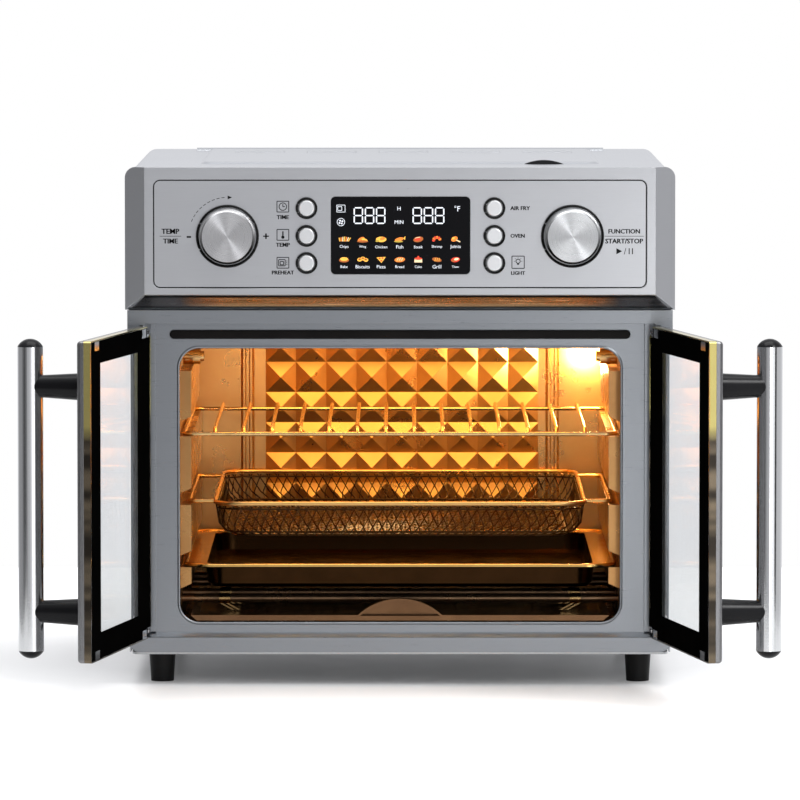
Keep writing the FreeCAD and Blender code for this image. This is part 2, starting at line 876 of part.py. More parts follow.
def door_plate(u0, u1, a0, a1, z0, z1, radius):
    """A rounded plate on the closed left door."""
    return upright_plate(
        -HINGE_X + u0, -HINGE_X + u1, z0, z1, radius, HINGE_DEPTH - a1, HINGE_DEPTH - a0
    )


def cut_hinge_notches(piece):
    """Clear the door's two hinge corners, behind its outer skin, for the hinges."""
    lower, upper = hinge_levels()
    piece = piece.cut(door_block(-5, 12.0, -9, 4.9, DOOR_LOW - 5, lower[1] + 2.6))
    return piece.cut(door_block(-5, 12.0, -9, 4.9, upper[0] - 2.6, DOOR_HIGH + 5))


def make_door_frame():
    """Pressed outer tray of the left door, closed."""
    tray = door_plate(DOOR_GAP, DOOR_WIDTH, DOOR_SPLIT, DOOR_OUT, DOOR_LOW, DOOR_HIGH, 2.5)
    near_x = -HINGE_X + DOOR_GAP
    front_y = HINGE_DEPTH - DOOR_OUT
    hinge_side = []
    for edge in tray.Edges:
        box = edge.BoundBox
        upright = box.ZLength > 50
        if upright and abs(box.XMax - near_x) < 1e-3 and abs(box.YMax - front_y) < 1e-3:
            hinge_side.append(edge)
    tray = tray.makeFillet(3.0, hinge_side)
    hollow = door_plate(
        DOOR_GAP + 3.6,
        DOOR_WIDTH - 1.4,
        DOOR_SPLIT - 2,
        DOOR_OUT - 1.2,
        DOOR_LOW + 1.4,
        DOOR_HIGH - 1.4,
        1.6,
    )
    window = door_plate(WINDOW_NEAR, WINDOW_FAR, 0, DOOR_OUT + 2, WINDOW_LOW, WINDOW_HIGH, 4)
    return cut_hinge_notches(tray.cut(hollow).cut(window)).removeSplitter()


def make_door_trim():
    """Polished inner rim of the left door, closed."""
    outer = door_plate(
        DOOR_GAP + 0.2, DOOR_WIDTH, -DOOR_IN, DOOR_SPLIT - 0.05, DOOR_LOW, DOOR_HIGH, 2.5
    )
    inside = door_plate(
        DOOR_GAP + 1.2,
        DOOR_WIDTH - 1.2,
        -DOOR_IN - 1,
        DOOR_SPLIT + 1,
        DOOR_LOW + 1.0,
        DOOR_HIGH - 1.0,
        1.5,
    )
    return cut_hinge_notches(outer.cut(inside)).removeSplitter()


def make_door_glass():
    """Outer and inner panes of the left door, closed."""
    outer = door_plate(
        WINDOW_NEAR - 9, WINDOW_FAR + 9, 2.0, DOOR_OUT - 1.3, WINDOW_LOW - 9, WINDOW_HIGH + 9, 2
    )
    inner = door_plate(
        DOOR_GAP + 1.4,
        DOOR_WIDTH - 1.4,
        -DOOR_IN + 0.3,
        -1.4,
        DOOR_LOW + 1.2,
        DOOR_HIGH - 1.2,
        1.3,
    )
    return group([outer, cut_hinge_notches(inner)])


def make_door_clips():
    """Small clips that hold the left door's inner pane."""
    clips = []
    for u in (20.0, 178.5):
        for low in (DOOR_LOW + 1.4, DOOR_HIGH - 1.4 - 6.8):
            clips.append(
                door_block(u, u + 14.0, -DOOR_IN - 0.9, -DOOR_IN + 0.28, low, low + 6.8)
            )
    return clips


def make_hinge_leaves():
    """Moving halves of the left door's hinges: a plate and its pin."""
    leaves = []
    lower, upper = hinge_levels()
    for tip, low, high in (
        (lower[0] - 1.6, lower[1] + 0.9, lower[1] + 2.5),
        (upper[1] + 1.6, upper[0] - 2.5, upper[0] - 0.9),
    ):
        root = high if tip < low else low
        pin = rod(2.0, (-HINGE_X, HINGE_DEPTH, tip), (-HINGE_X, HINGE_DEPTH, root))
        leaf = door_block(-2.8, 11.0, -2.4, 2.4, low, high)
        leaves.append(fuse([pin, leaf]))
    return leaves


def make_hinge_ears():
    """Fixed halves of the hinges: flat ears with an eye round each pin."""
    ears = []
    for side in (-1, 1):
        x = side * HINGE_X
        inner = x - side * 3.7
        for low, high in hinge_levels():
            eye = rod(3.9, (x, HINGE_DEPTH, low), (x, HINGE_DEPTH, high))
            arm = block(min(x, inner), max(x, inner), HINGE_DEPTH, RECESS_DEPTH, low, high)
            away = -1 if low > CONTROL_Z / 2 else 1
            base = (low - 4.0, high) if away < 0 else (low, high + 4.0)
            foot = block(
                min(x, inner), max(x, inner), RECESS_DEPTH - 1.2, RECESS_DEPTH, base[0], base[1]
            )
            hole = rod(2.05, (x, HINGE_DEPTH, low - 1), (x, HINGE_DEPTH, high + 1))
            ears.append(fuse([eye, arm, foot]).cut(hole))
    return group(ears)


def handle_axis():
    """Where the left handle's tube stands on the closed door."""
    return (
        -HINGE_X + DOOR_WIDTH - HANDLE_FROM_EDGE,
        HINGE_DEPTH - DOOR_OUT - HANDLE_STAND,
    )


def make_handle_tube():
    x, y = handle_axis()
    low = HANDLE_Z - HANDLE_LENGTH / 2
    high = HANDLE_Z + HANDLE_LENGTH / 2
    return tube(HANDLE_RADIUS, HANDLE_RADIUS - 1.5, (x, y, low), (x, y, high))


def make_handle_caps():
    """Domed plugs in the ends of the left handle."""
    x, y = handle_axis()
    caps = []
    radius = (HANDLE_RADIUS**2 + CAP_HEIGHT**2) / (2 * CAP_HEIGHT)
    for way in (-1, 1):
        end = HANDLE_Z + way * HANDLE_LENGTH / 2
        centre = Vector(x, y, end + way * (CAP_HEIGHT - radius))
        ball = Part.makeSphere(radius, centre)
        keep = rod(HANDLE_RADIUS + 0.5, (x, y, end), (x, y, end + way * 20))
        plug = rod(HANDLE_RADIUS - 1.7, (x, y, end - way * 8), (x, y, end))
        caps.append(fuse([ball.common(keep), plug]))
    return caps


def make_handle_standoffs():
    """Tapered posts between the left door and its handle."""
    x, y = handle_axis()
    posts = []
    door_face = HINGE_DEPTH - DOOR_OUT
    for way in (-1, 1):
        z = HANDLE_Z + way * STANDOFF_HALF
        post = Part.makeCone(
            STANDOFF_ROOT, STANDOFF_TIP, HANDLE_STAND, Vector(x, door_face, z), Vector(0, -1, 0)
        )
        room = rod(HANDLE_RADIUS, (x, y, z - 20), (x, y, z + 20))
        posts.append(post.cut(room))
    return posts


def open_left(shape):
    """Swing a piece of the closed left door to where the door stands."""
    opened = shape.copy()
    opened.rotate(Vector(-HINGE_X, HINGE_DEPTH, 0), Vector(0, 0, 1), -DOOR_OPEN)
    return opened


# ---------------------------------------------------------------- cavity
def heater_holes(x0, x1):
    """Clearance holes where the heater tubes pass a side wall."""
    holes = []
    for depth in HEATER_DEPTHS:
        for z in (LOWER_HEATER_Z, UPPER_HEATER_Z):
            holes.append(rod(4.2, (x0, depth, z), (x1, depth, z)))
    return holes


def guide_section(side, low, high, inset):
    """Outline of a pressed panel: flat on top to carry a rack, sloped underneath."""
    wall = side * CAVITY_HALF
    tip = side * (CAVITY_HALF - GUIDE_REACH + inset)
    if inset:
        wall = side * (CAVITY_HALF + 2 * SHEET)
    return [
        (wall, low + inset * 1.6),
        (tip, low + GUIDE_SLOPE + inset),
        (tip, high - inset),
        (wall, high - inset),
    ]


def make_guide_panel(side, low, high, back, inset=0.0):
    """One panel of a side wall as a solid; with an inset, the room behind its sheet."""
    section = guide_section(side, low, high, inset)
    front = GUIDE_FRONT + inset
    return prism([(x, front, z) for x, z in section], (0, back - inset - front, 0))


def make_side_wall(side):
    """A side of the cavity: four pressed panels leave a groove at each rack level."""
    inner = side * CAVITY_HALF
    outer = side * (CAVITY_HALF + SHEET)
    whole = block(
        min(inner, outer), max(inner, outer), CAVITY_FRONT, CAVITY_BACK, CAVITY_FLOOR, CAVITY_ROOF
    )
    panels = (
        (RACK_Z + 10.0, GUIDE_TOP, LAMP_DEPTH - 24.0),
        (BASKET_Z + 7.4, RACK_Z - RACK_WIRE - 0.4, GUIDE_BACK),
        (PAN_Z + 6.8, BASKET_Z - 2.2, GUIDE_BACK),
        (GUIDE_LOW, PAN_Z - 2.6, GUIDE_BACK),
    )
    for low, high, back in panels:
        whole = whole.fuse(make_guide_panel(side, low, high, back))
    for low, high, back in panels:
        whole = whole.cut(make_guide_panel(side, low, high, back, SHEET))
    for hole in heater_holes(min(side * 160, side * 190), max(side * 160, side * 190)):
        whole = whole.cut(hole)
    if side > 0:
        whole = whole.cut(rod(17.2, (170, LAMP_DEPTH, LAMP_Z), (190, LAMP_DEPTH, LAMP_Z)))
    return whole.removeSplitter()


def make_side_walls():
    return group([make_side_wall(-1), make_side_wall(1)])


def make_cavity_roof():
    """Roof sheet with a ring of air holes under the fan."""
    roof = block(
        -CAVITY_HALF - SHEET,
        CAVITY_HALF + SHEET,
        CAVITY_FRONT,
        CAVITY_BACK + SHEET,
        CAVITY_ROOF,
        CAVITY_ROOF + SHEET,
    )
    holes = []
    for ring in range(1, 7):
        count = 6 * ring
        for number in range(count):
            angle = 2 * math.pi * number / count
            x = ring * 9.6 * math.cos(angle)
            y = FAN_DEPTH + ring * 9.6 * math.sin(angle)
            holes.append(Part.makeCylinder(2.6, 4, Vector(x, y, CAVITY_ROOF - 1)))
    return roof.cut(group(holes))


def make_cavity_floor():
    floor = block(
        -CAVITY_HALF - SHEET,
        CAVITY_HALF + SHEET,
        CAVITY_FRONT,
        CAVITY_BACK + SHEET,
        CAVITY_FLOOR - SHEET,
        CAVITY_FLOOR,
    )
    rails = [
        block(-150, -144, 20, 335, CAVITY_FLOOR, TRAY_Z - 1.4),
        block(144, 150, 20, 335, CAVITY_FLOOR, TRAY_Z - 1.4),
    ]
    return fuse([floor] + rails)


def pyramid(left, low, front):
    """A four-sided point on the back wall."""
    size = PYRAMID_SIZE
    base = [
        Vector(left, front, low),
        Vector(left + size, front, low),
        Vector(left + size, front, low + size),
        Vector(left, front, low + size),
    ]
    tip = Vector(left + size / 2, front - PYRAMID_RISE, low + size / 2)
    faces = [Part.Face(Part.makePolygon(base + base[:1]))]
    for number in range(4):
        corner = base[number]
        following = base[(number + 1) % 4]
        faces.append(Part.Face(Part.makePolygon([corner, following, tip, corner])))
    return Part.makeSolid(Part.makeShell(faces))


def make_back_wall():
    """Back sheet with a field of pyramids between two upright ribs."""
    sheet = block(
        -CAVITY_HALF, CAVITY_HALF, CAVITY_BACK, CAVITY_BACK + SHEET, CAVITY_FLOOR, CAVITY_ROOF
    )
    points = []
    for column in range(PYRAMID_COLUMNS):
        for row in range(PYRAMID_ROWS):
            points.append(
                pyramid(
                    PYRAMID_LEFT + column * PYRAMID_SIZE,
                    PYRAMID_LOW + row * PYRAMID_SIZE,
                    CAVITY_BACK,
                )
            )
    ribs = []
    for side in (-1, 1):
        a, b = sorted((side * RIB_IN, side * RIB_OUT))
        low = CAVITY_FLOOR + 6
        high = CAVITY_ROOF - 2
        rib = prism(
            [
                (a, CAVITY_BACK, low),
                (a + 2.0, CAVITY_BACK - 3.4, low),
                (a + 3.6, CAVITY_BACK - 3.4, low),
                (a + 4.6, CAVITY_BACK - 1.2, low),
                (b - 4.6, CAVITY_BACK - 1.2, low),
                (b - 3.6, CAVITY_BACK - 3.4, low),
                (b - 2.0, CAVITY_BACK - 3.4, low),
                (b, CAVITY_BACK, low),
            ],
            (0, 0, high - low),
        )
        ribs.append(rib)
    return fuse([sheet] + points + ribs)


def make_heaters(z):
    """Four heater tubes across the cavity at one height."""
    return group([rod(HEATER_RADIUS, (-192, depth, z), (192, depth, z)) for depth in HEATER_DEPTHS])


def make_heater_ends():
    """Ceramic bushes outside the side walls, one on each heater end."""
    ends = []
    for side in (-1, 1):
        for depth in HEATER_DEPTHS:
            for z in (LOWER_HEATER_Z, UPPER_HEATER_Z):
                ends.append(
                    tube(
                        7.0,
                        HEATER_RADIUS + 0.05,
                        (side * (CAVITY_HALF + SHEET), depth, z),
                        (side * 188.0, depth, z),
                    )
                )
    return group(ends)


def make_heater_supports():
    """Rings on the front lower heaters, each with a pair of leaning legs."""
    supports = []
    for side in (-1, 1):
        for depth in HEATER_DEPTHS[:2]:
            top = side * 146.5
            foot = side * 137.0
            ring = tube(
                4.2,
                HEATER_RADIUS + 0.02,
                (side * 138.0, depth, LOWER_HEATER_Z),
                (side * 147.0, depth, LOWER_HEATER_Z),
            )
            pieces = [ring]
            for offset in (0.0, side * 5.0):
                leg = [
                    (top - offset, depth - 3, LOWER_HEATER_Z - HEATER_RADIUS - 0.6),
                    (top - offset - side * 2.2, depth - 3, LOWER_HEATER_Z - HEATER_RADIUS - 0.6),
                    (foot - offset - side * 2.2, depth - 3, TRAY_Z + 1.4),
                    (foot - offset, depth - 3, TRAY_Z + 1.4),
                ]
                pieces.append(prism(leg, (0, 6, 0)))
            supports.append(fuse(pieces))
    return supports


def make_corner_brackets():
    """Bright cups and hooks over the front upper heater's ends."""
    brackets = []
    depth = HEATER_DEPTHS[0]
    middle = 259.8
    for side in (-1, 1):
        wall = side * CAVITY_HALF
        near = wall - side * 1.0
        plate = block(min(wall, near), max(wall, near), depth - 16, depth + 16, 252.4, 266.2)
        cup = tube(6.4, 5.4, (near, depth, middle), (wall - side * 15.0, depth, middle))
        hook = tube(4.0, 3.2, (near, depth, middle), (wall - side * 18.0, depth, middle))
        ends = sorted((wall - side * 3.0, wall - side * 6.0))
        bridge = block(ends[0], ends[1], depth - 6, depth - 3.6, middle - 3, middle + 3)
        brackets.append(fuse([plate, cup, hook, bridge]))
    return brackets


def make_heater_brackets():
    return group(make_heater_supports() + make_corner_brackets())


# ---------------------------------------------------------------- racks
def make_wire_rack():
    """Flat rack: a frame of heavier wire, a second side wire, cross bars."""
    frame = round_bar_loop(
        -RACK_HALF, RACK_HALF, RACK_FRONT, RACK_BACK, 9.0, RACK_Z, RACK_WIRE
    )
    wires = [frame]
    for side in (-1, 1):
        x = side * (RACK_HALF - RACK_SECOND_WIRE)
        wires.append(
            rod(RACK_WIRE, (x, RACK_FRONT, RACK_Z), (x, RACK_BACK, RACK_Z))
        )
    bar = 1.5
    lift = RACK_WIRE + bar + 1.2
    for number in range(RACK_BARS):
        x = (number - (RACK_BARS - 1) / 2) * RACK_BAR_PITCH
        wires.append(
            bent_wire(
                [
                    (x, RACK_FRONT, RACK_Z + 0.8),
                    (x, RACK_FRONT + 3.5, RACK_Z + lift),
                    (x, RACK_BACK - 3.5, RACK_Z + lift),
                    (x, RACK_BACK, RACK_Z + 0.8),
                ],
                2.2,
                bar,
            )
        )
    return fuse(wires)


def basket_half(z_top, spread):
    """Outline of the basket at one height, as a flat wire."""
    wire = rounded_outline(
        -BASKET_HALF + spread,
        BASKET_HALF - spread,
        BASKET_FRONT + spread,
        BASKET_BACK - spread,
        BASKET_CORNER - spread * 0.5,
    )
    wire.translate(Vector(0, 0, z_top))
    return wire


def make_basket():
    """Basket body with its rolled rim, and the side wires that carry it."""
    bottom = BASKET_Z - BASKET_DEPTH
    outside = Part.makeLoft(
        [
            basket_half(bottom, 16.0),
            basket_half(bottom + 3.4, 8.6),
            basket_half(bottom + 10.0, 3.8),
            basket_half(BASKET_Z, 1.6),
        ],
        True,
        True,
    )
    inside = Part.makeLoft(
        [
            basket_half(bottom + BASKET_SHEET, 16.0),
            basket_half(bottom + 3.4 + BASKET_SHEET * 0.7, 8.6 + BASKET_SHEET),
            basket_half(bottom + 10.0, 3.8 + BASKET_SHEET),
            basket_half(BASKET_Z + 0.5, 1.4 + BASKET_SHEET),
        ],
        True,
        True,
    )
    rim = round_bar_loop(
        -BASKET_HALF + 1.0,
        BASKET_HALF - 1.0,
        BASKET_FRONT + 1.0,
        BASKET_BACK - 1.0,
        BASKET_CORNER - 1.0,
        BASKET_Z,
        1.8,
    )
    pieces = [outside.cut(inside), rim]
    for side in (-1, 1):
        pieces.append(
            bent_wire(
                [
                    (side * (BASKET_HALF - 1.0), 40.0, BASKET_Z),
                    (side * BASKET_RAIL, 40.0, BASKET_Z),
                    (side * BASKET_RAIL, 287.0, BASKET_Z),
                    (side * (BASKET_HALF - 1.0), 287.0, BASKET_Z),
                ],
                5.0,
                1.7,
            )
        )
    return fuse(pieces)


def pan_outline(z, half, front, back, corner):
    wire = rounded_outline(-half, half, front, back, corner)
    wire.translate(Vector(0, 0, z))
    return wire


def make_baking_pan():
    """Shallow pan with a wide flat rim and a turned-down edge."""
    bottom = PAN_Z - PAN_DEPTH
    front = PAN_FRONT + 12.0
    back = PAN_BACK - 12.0
    outside = Part.makeLoft(
        [
            pan_outline(bottom, PAN_BODY_HALF - 5, front + 5, back - 5, 14),
            pan_outline(bottom + 3, PAN_BODY_HALF - 2, front + 2, back - 2, 16),
            pan_outline(PAN_Z, PAN_BODY_HALF, front, back, 18),
        ],
        True,
        True,
    )
    inside = Part.makeLoft(
        [
            pan_outline(bottom + PAN_SHEET, PAN_BODY_HALF - 6, front + 6, back - 6, 13),
            pan_outline(bottom + 3.6, PAN_BODY_HALF - 3, front + 3, back - 3, 15),
            pan_outline(PAN_Z + 2, PAN_BODY_HALF - 1, front + 1, back - 1, 17),
        ],
        True,
        True,
    )
    rim = flat_plate(-PAN_HALF, PAN_HALF, PAN_FRONT, PAN_BACK, PAN_CORNER, PAN_Z - 1.0, PAN_Z)
    inset = PAN_RIM_WIRE
    edge = round_bar_loop(
        -PAN_HALF + inset,
        PAN_HALF - inset,
        PAN_FRONT + inset,
        PAN_BACK - inset,
        PAN_CORNER - inset,
        PAN_Z - 0.2,
        PAN_RIM_WIRE,
    )
    return fuse([outside, rim, edge]).cut(inside)


def tray_section(inset, floor, top):
    """The crumb tray's cross section: flat bottom and flared sides."""
    flare = TRAY_FLARE / TRAY_LIP
    low_half = TRAY_HALF - inset
    high_half = low_half + (top - floor) * flare * 0.8
    return [
        (-low_half, TRAY_FRONT, floor),
        (low_half, TRAY_FRONT, floor),
        (high_half, TRAY_FRONT, top),
        (-high_half, TRAY_FRONT, top),
    ]


def arch_plate(half_width, height, foot, depth, thickness):
    """An upright plate with a flat foot and an arched top."""
    curve = Part.Arc(
        Vector(-half_width, depth, foot),
        Vector(0, depth, foot + height),
        Vector(half_width, depth, foot),
    ).toShape()
    chord = Part.makeLine(Vector(half_width, depth, foot), Vector(-half_width, depth, foot))
    return Part.Face(Part.Wire([curve, chord])).extrude(Vector(0, thickness, 0))


def make_crumb_tray():
    """Sliding tray with flared sides, a raised middle and an arched pull."""
    low = TRAY_Z - TRAY_SHEET
    rim = TRAY_Z + TRAY_LIP
    length = TRAY_BACK - TRAY_FRONT
    outside = prism(tray_section(0, low, rim), (0, length, 0))
    inside = prism(tray_section(TRAY_SHEET, TRAY_Z, rim + 1), (0, length - 2.0, 0))
    inside.translate(Vector(0, 1.0, 0))
    raised = flat_plate(-114, 114, 34, 300, 6, TRAY_Z - TRAY_SHEET, TRAY_Z + 1.0)
    hollow = flat_plate(-113, 113, 35, 299, 5, low - 1, TRAY_Z + 1.0 - TRAY_SHEET)
    foot = rim - 0.6
    pull = arch_plate(PULL_HALF, PULL_RISE, foot, TRAY_FRONT, PULL_DEPTH)
    finger = arch_plate(PULL_HALF - 2.2, PULL_RISE - 1.6, foot, TRAY_FRONT - 1.0, PULL_DEPTH)
    return fuse([outside.cut(inside), raised, pull]).cut(hollow).cut(finger)


# ---------------------------------------------------------------- fan, lamp, electrics
def make_fan_chamber():
    """Drum over the cavity roof that the fan turns in, with the motor's bridge."""
    base = CAVITY_ROOF + SHEET
    drum = tube(
        FAN_CHAMBER_RADIUS,
        FAN_CHAMBER_RADIUS - 1.0,
        (0, FAN_DEPTH, base),
        (0, FAN_DEPTH, FAN_CHAMBER_TOP),
    )
    lid = tube(
        FAN_CHAMBER_RADIUS, 6.0, (0, FAN_DEPTH, FAN_CHAMBER_TOP - 1.0), (0, FAN_DEPTH, FAN_CHAMBER_TOP)
    )
    flange = tube(
        FAN_CHAMBER_RADIUS + 9.0,
        FAN_CHAMBER_RADIUS - 1.0,
        (0, FAN_DEPTH, base),
        (0, FAN_DEPTH, base + 1.0),
    )
    plate = block(-70, 70, FAN_DEPTH - 20, FAN_DEPTH + 20, 328.6, MOTOR_SEAT)
    plate = plate.cut(rod(8.0, (0, FAN_DEPTH, 325), (0, FAN_DEPTH, 335)))
    legs = []
    for x in (-70.0, 68.6):
        legs.append(
            block(x, x + 1.4, FAN_DEPTH - 20, FAN_DEPTH + 20, FAN_CHAMBER_TOP - 0.5, MOTOR_SEAT)
        )
    return fuse([drum, lid, flange, plate] + legs)


def make_bladed_wheel(radius, low, high, blades, hub, twist):
    """A fan wheel: hub, backing disc and leaning blades."""
    pieces = [
        rod(hub, (0, FAN_DEPTH, low), (0, FAN_DEPTH, high)),
        rod(radius * 0.55, (0, FAN_DEPTH, high - 1.2), (0, FAN_DEPTH, high)),
    ]
    for number in range(blades):
        blade = block(hub - 1.0, radius, -0.6, 0.6, low, high)
        blade.rotate(Vector(radius / 2, 0, (low + high) / 2), Vector(1, 0, 0), twist)
        blade.rotate(Vector(0, 0, 0), Vector(0, 0, 1), 360.0 * number / blades)
        blade.translate(Vector(0, FAN_DEPTH, 0))
        pieces.append(blade.common(rod(radius, (0, FAN_DEPTH, low), (0, FAN_DEPTH, high))))
    return fuse(pieces)


def make_convection_fan():
    """Fan wheel in the chamber, bored for the motor shaft."""
    wheel = make_bladed_wheel(FAN_RADIUS, 292.0, 314.0, 10, 9.0, 12)
    return wheel.cut(rod(4.0, (0, FAN_DEPTH, 280), (0, FAN_DEPTH, 320)))


def make_fan_shaft():
    """Motor shaft with the small cooling fan on its upper end."""
    shaft = rod(4.0, (0, FAN_DEPTH, 290.5), (0, FAN_DEPTH, 398.0))
    return fuse([shaft, make_bladed_wheel(46.0, 378.0, 394.0, 7, 8.0, 35)])


def make_fan_motor():
    """Shaded-pole motor: laminated stack, coil and two end bearings."""
    stack = block(-30, 30, FAN_DEPTH - 30, FAN_DEPTH + 30, 340, 362)
    coil = block(-22, 22, FAN_DEPTH + 26, FAN_DEPTH + 48, 336, 366)
    top = rod(14, (0, FAN_DEPTH, 362), (0, FAN_DEPTH, 372))
    bottom = rod(14, (0, FAN_DEPTH, 330), (0, FAN_DEPTH, 340))
    bore = rod(4.06, (0, FAN_DEPTH, 320), (0, FAN_DEPTH, 380))
    return fuse([stack, coil, top, bottom]).cut(bore)


def make_lamp_holder():
    """Ceramic lamp socket in the right wall."""
    flange = tube(21.0, 16.2, (178.0, LAMP_DEPTH, LAMP_Z), (180.0, LAMP_DEPTH, LAMP_Z))
    cup = tube(17.6, 16.2, (180.0, LAMP_DEPTH, LAMP_Z), (206.0, LAMP_DEPTH, LAMP_Z))
    base = rod(17.6, (206.0, LAMP_DEPTH, LAMP_Z), (209.0, LAMP_DEPTH, LAMP_Z))
    socket = rod(9.0, (198.0, LAMP_DEPTH, LAMP_Z), (206.0, LAMP_DEPTH, LAMP_Z))
    return fuse([flange, cup, base, socket])


def make_lamp_bulb():
    """Round bulb and its neck, turned about the lamp's axis."""
    radius = 10.0
    neck = 6.0
    tip = 176.5
    join = tip + radius + math.sqrt(radius**2 - neck**2)
    shoulder = radius * math.sqrt(0.5)

    def at(x, away):
        return Vector(x, LAMP_DEPTH + away, LAMP_Z)

    dome = Part.Arc(
        at(tip, 0), at(tip + radius - shoulder, shoulder), at(join, neck)
    ).toShape()
    side = Part.makeLine(at(join, neck), at(198.0, neck))
    end = Part.makeLine(at(198.0, neck), at(198.0, 0))
    axis = Part.makeLine(at(198.0, 0), at(tip, 0))
    outline = Part.Face(Part.Wire([dome, side, end, axis]))
    return outline.revolve(at(0, 0), Vector(1, 0, 0), 360)


def make_lamp_lens():
    """Domed glass cover over the lamp, standing a little into the cavity."""
    radius = 24.0
    face = 175.0
    ball = Part.makeSphere(radius, Vector(face - 1.5 + radius, LAMP_DEPTH, LAMP_Z))
    hollow = Part.makeSphere(radius - 2.0, Vector(face - 1.5 + radius, LAMP_DEPTH, LAMP_Z))
    keep = rod(16.0, (150.0, LAMP_DEPTH, LAMP_Z), (face + 4.5, LAMP_DEPTH, LAMP_Z))
    return ball.cut(hollow).common(keep).Solids[0]


def make_insulation():
    """Mineral wool blankets beside and behind the cavity."""
    side_pad = block(192.5, 212.5, 16, 340, 75, 225)
    back_pad = block(-165, 165, 352, 380, 62, 280)
    return group([side_pad, mirror(side_pad), back_pad])


def make_relay_board():
    """Power board with relays, on posts over the left of the cavity roof."""
    low = 300.0
    top = low + 1.6
    parts = [block(-172, -96, 120, 250, low, top)]
    for number in range(4):
        y = 130 + number * 28
        parts.append(block(-168, -150, y, y + 20, top - 0.2, top + 15.4))
    parts.append(rod(11, (-125, 150, top - 0.2), (-125, 150, top + 24)))
    parts.append(block(-136, -102, 190, 225, top - 0.2, top + 24))
    for x in (-168, -100):
        for y in (124, 246):
            parts.append(rod(2.5, (x, y, CAVITY_ROOF + SHEET), (x, y, low + 0.2)))
    return fuse(parts)


# ---------------------------------------------------------------- write the nodes
nodes = {
    "casing": make_casing,
    "vent_tab": make_vent_tab,
    "base_plate": make_base_plate,
    "feet": make_feet,
    "screws": make_screws,
    "rear_cover": make_rear_cover,
    "rear_spacers": make_rear_spacers,
    "cable_gland": make_cable_gland,
    "front_bezel": make_front_bezel,
    "seal_strip": make_seal_strip,
    "control_housing": make_control_housing,
    "brow_trim": make_brow_trim,
    "display_window": make_display_window,
    "control_rings": make_control_rings,
    "encoders": make_encoders,
    "start_plunger": make_start_plunger,
    "switches": make_switches,
    "control_board": make_control_board,
    "hinge_ears": make_hinge_ears,
    "side_walls": make_side_walls,
    "cavity_roof": make_cavity_roof,
    "cavity_floor": make_cavity_floor,
    "back_wall": make_back_wall,
    "heater_ends": make_heater_ends,
    "heater_brackets": make_heater_brackets,
    "wire_rack": make_wire_rack,
    "basket": make_basket,
    "baking_pan": make_baking_pan,
    "crumb_tray": make_crumb_tray,
    "fan_chamber": make_fan_chamber,
    "fan_shaft": make_fan_shaft,
    "convection_fan": make_convection_fan,
    "fan_motor": make_fan_motor,
    "lamp_holder": make_lamp_holder,
    "lamp_bulb": make_lamp_bulb,
    "lamp_lens": make_lamp_lens,
    "insulation": make_insulation,
    "relay_board": make_relay_board,
}
for node, make in nodes.items():
    save(node, make())

save("upper_heaters", make_heaters(UPPER_HEATER_Z))
save("lower_heaters", make_heaters(LOWER_HEATER_Z))
save("left_knob", make_knob(-1))
save("right_knob", make_knob(1))

button_names = {
    "left": ("time_button", "temp_button", "preheat_button"),
    "right": ("air_fry_button", "oven_button", "light_button"),
}
for place, names in button_names.items():
    for name, height in zip(names, BUTTON_ROWS):
        save(name, make_button(BUTTON_X[place], height))

door_pieces = {
    "door_frame": make_door_frame(),
    "door_trim": make_door_trim(),
    "door_glass": make_door_glass(),
    "door_fittings": group(make_door_clips() + make_hinge_leaves()),
    "handle_tube": make_handle_tube(),
    "handle_fittings": group(make_handle_standoffs() + make_handle_caps()),
}
for name, closed_piece in door_pieces.items():
    opened = open_left(closed_piece)
    save("left_" + name, opened)
    save("right_" + name, mirror(opened))
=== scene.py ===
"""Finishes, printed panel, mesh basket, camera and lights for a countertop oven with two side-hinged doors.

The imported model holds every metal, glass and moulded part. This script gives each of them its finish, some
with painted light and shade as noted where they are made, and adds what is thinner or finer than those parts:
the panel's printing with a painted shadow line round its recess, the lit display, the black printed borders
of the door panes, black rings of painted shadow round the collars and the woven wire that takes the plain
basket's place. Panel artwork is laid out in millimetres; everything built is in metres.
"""
import json
import math

import bmesh
import bpy
from mathutils import Matrix, Vector


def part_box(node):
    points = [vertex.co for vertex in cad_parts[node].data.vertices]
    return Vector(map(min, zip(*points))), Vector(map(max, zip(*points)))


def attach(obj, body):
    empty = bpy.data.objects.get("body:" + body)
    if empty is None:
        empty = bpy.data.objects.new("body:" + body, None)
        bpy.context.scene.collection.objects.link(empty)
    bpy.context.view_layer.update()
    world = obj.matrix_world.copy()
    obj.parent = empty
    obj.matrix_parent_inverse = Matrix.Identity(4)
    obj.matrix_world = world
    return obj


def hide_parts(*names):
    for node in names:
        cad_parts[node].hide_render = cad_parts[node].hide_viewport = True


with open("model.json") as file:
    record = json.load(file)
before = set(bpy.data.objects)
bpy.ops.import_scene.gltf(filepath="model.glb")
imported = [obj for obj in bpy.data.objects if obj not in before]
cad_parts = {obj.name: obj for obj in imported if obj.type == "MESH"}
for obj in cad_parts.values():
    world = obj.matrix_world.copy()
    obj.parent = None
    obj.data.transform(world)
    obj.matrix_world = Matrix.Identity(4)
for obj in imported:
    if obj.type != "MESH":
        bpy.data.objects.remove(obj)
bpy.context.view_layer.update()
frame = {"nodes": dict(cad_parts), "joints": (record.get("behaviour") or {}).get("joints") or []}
nodes = frame["nodes"]
scene = bpy.context.scene
MM = 0.001

# Reference planes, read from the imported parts.
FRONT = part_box("front_bezel")[0].y            # the lower bezel's front plane, depth 0
PANEL_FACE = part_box("display_window")[0].y + 0.7 * MM
LENS_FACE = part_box("display_window")[0].y

# ------------------------------------------------------------------ camera
CAMERA_DISTANCE = 5.72
CAMERA_HEIGHT = 0.641
CAMERA_DIP = math.radians(4.11)
CAMERA_LENS = 322.3


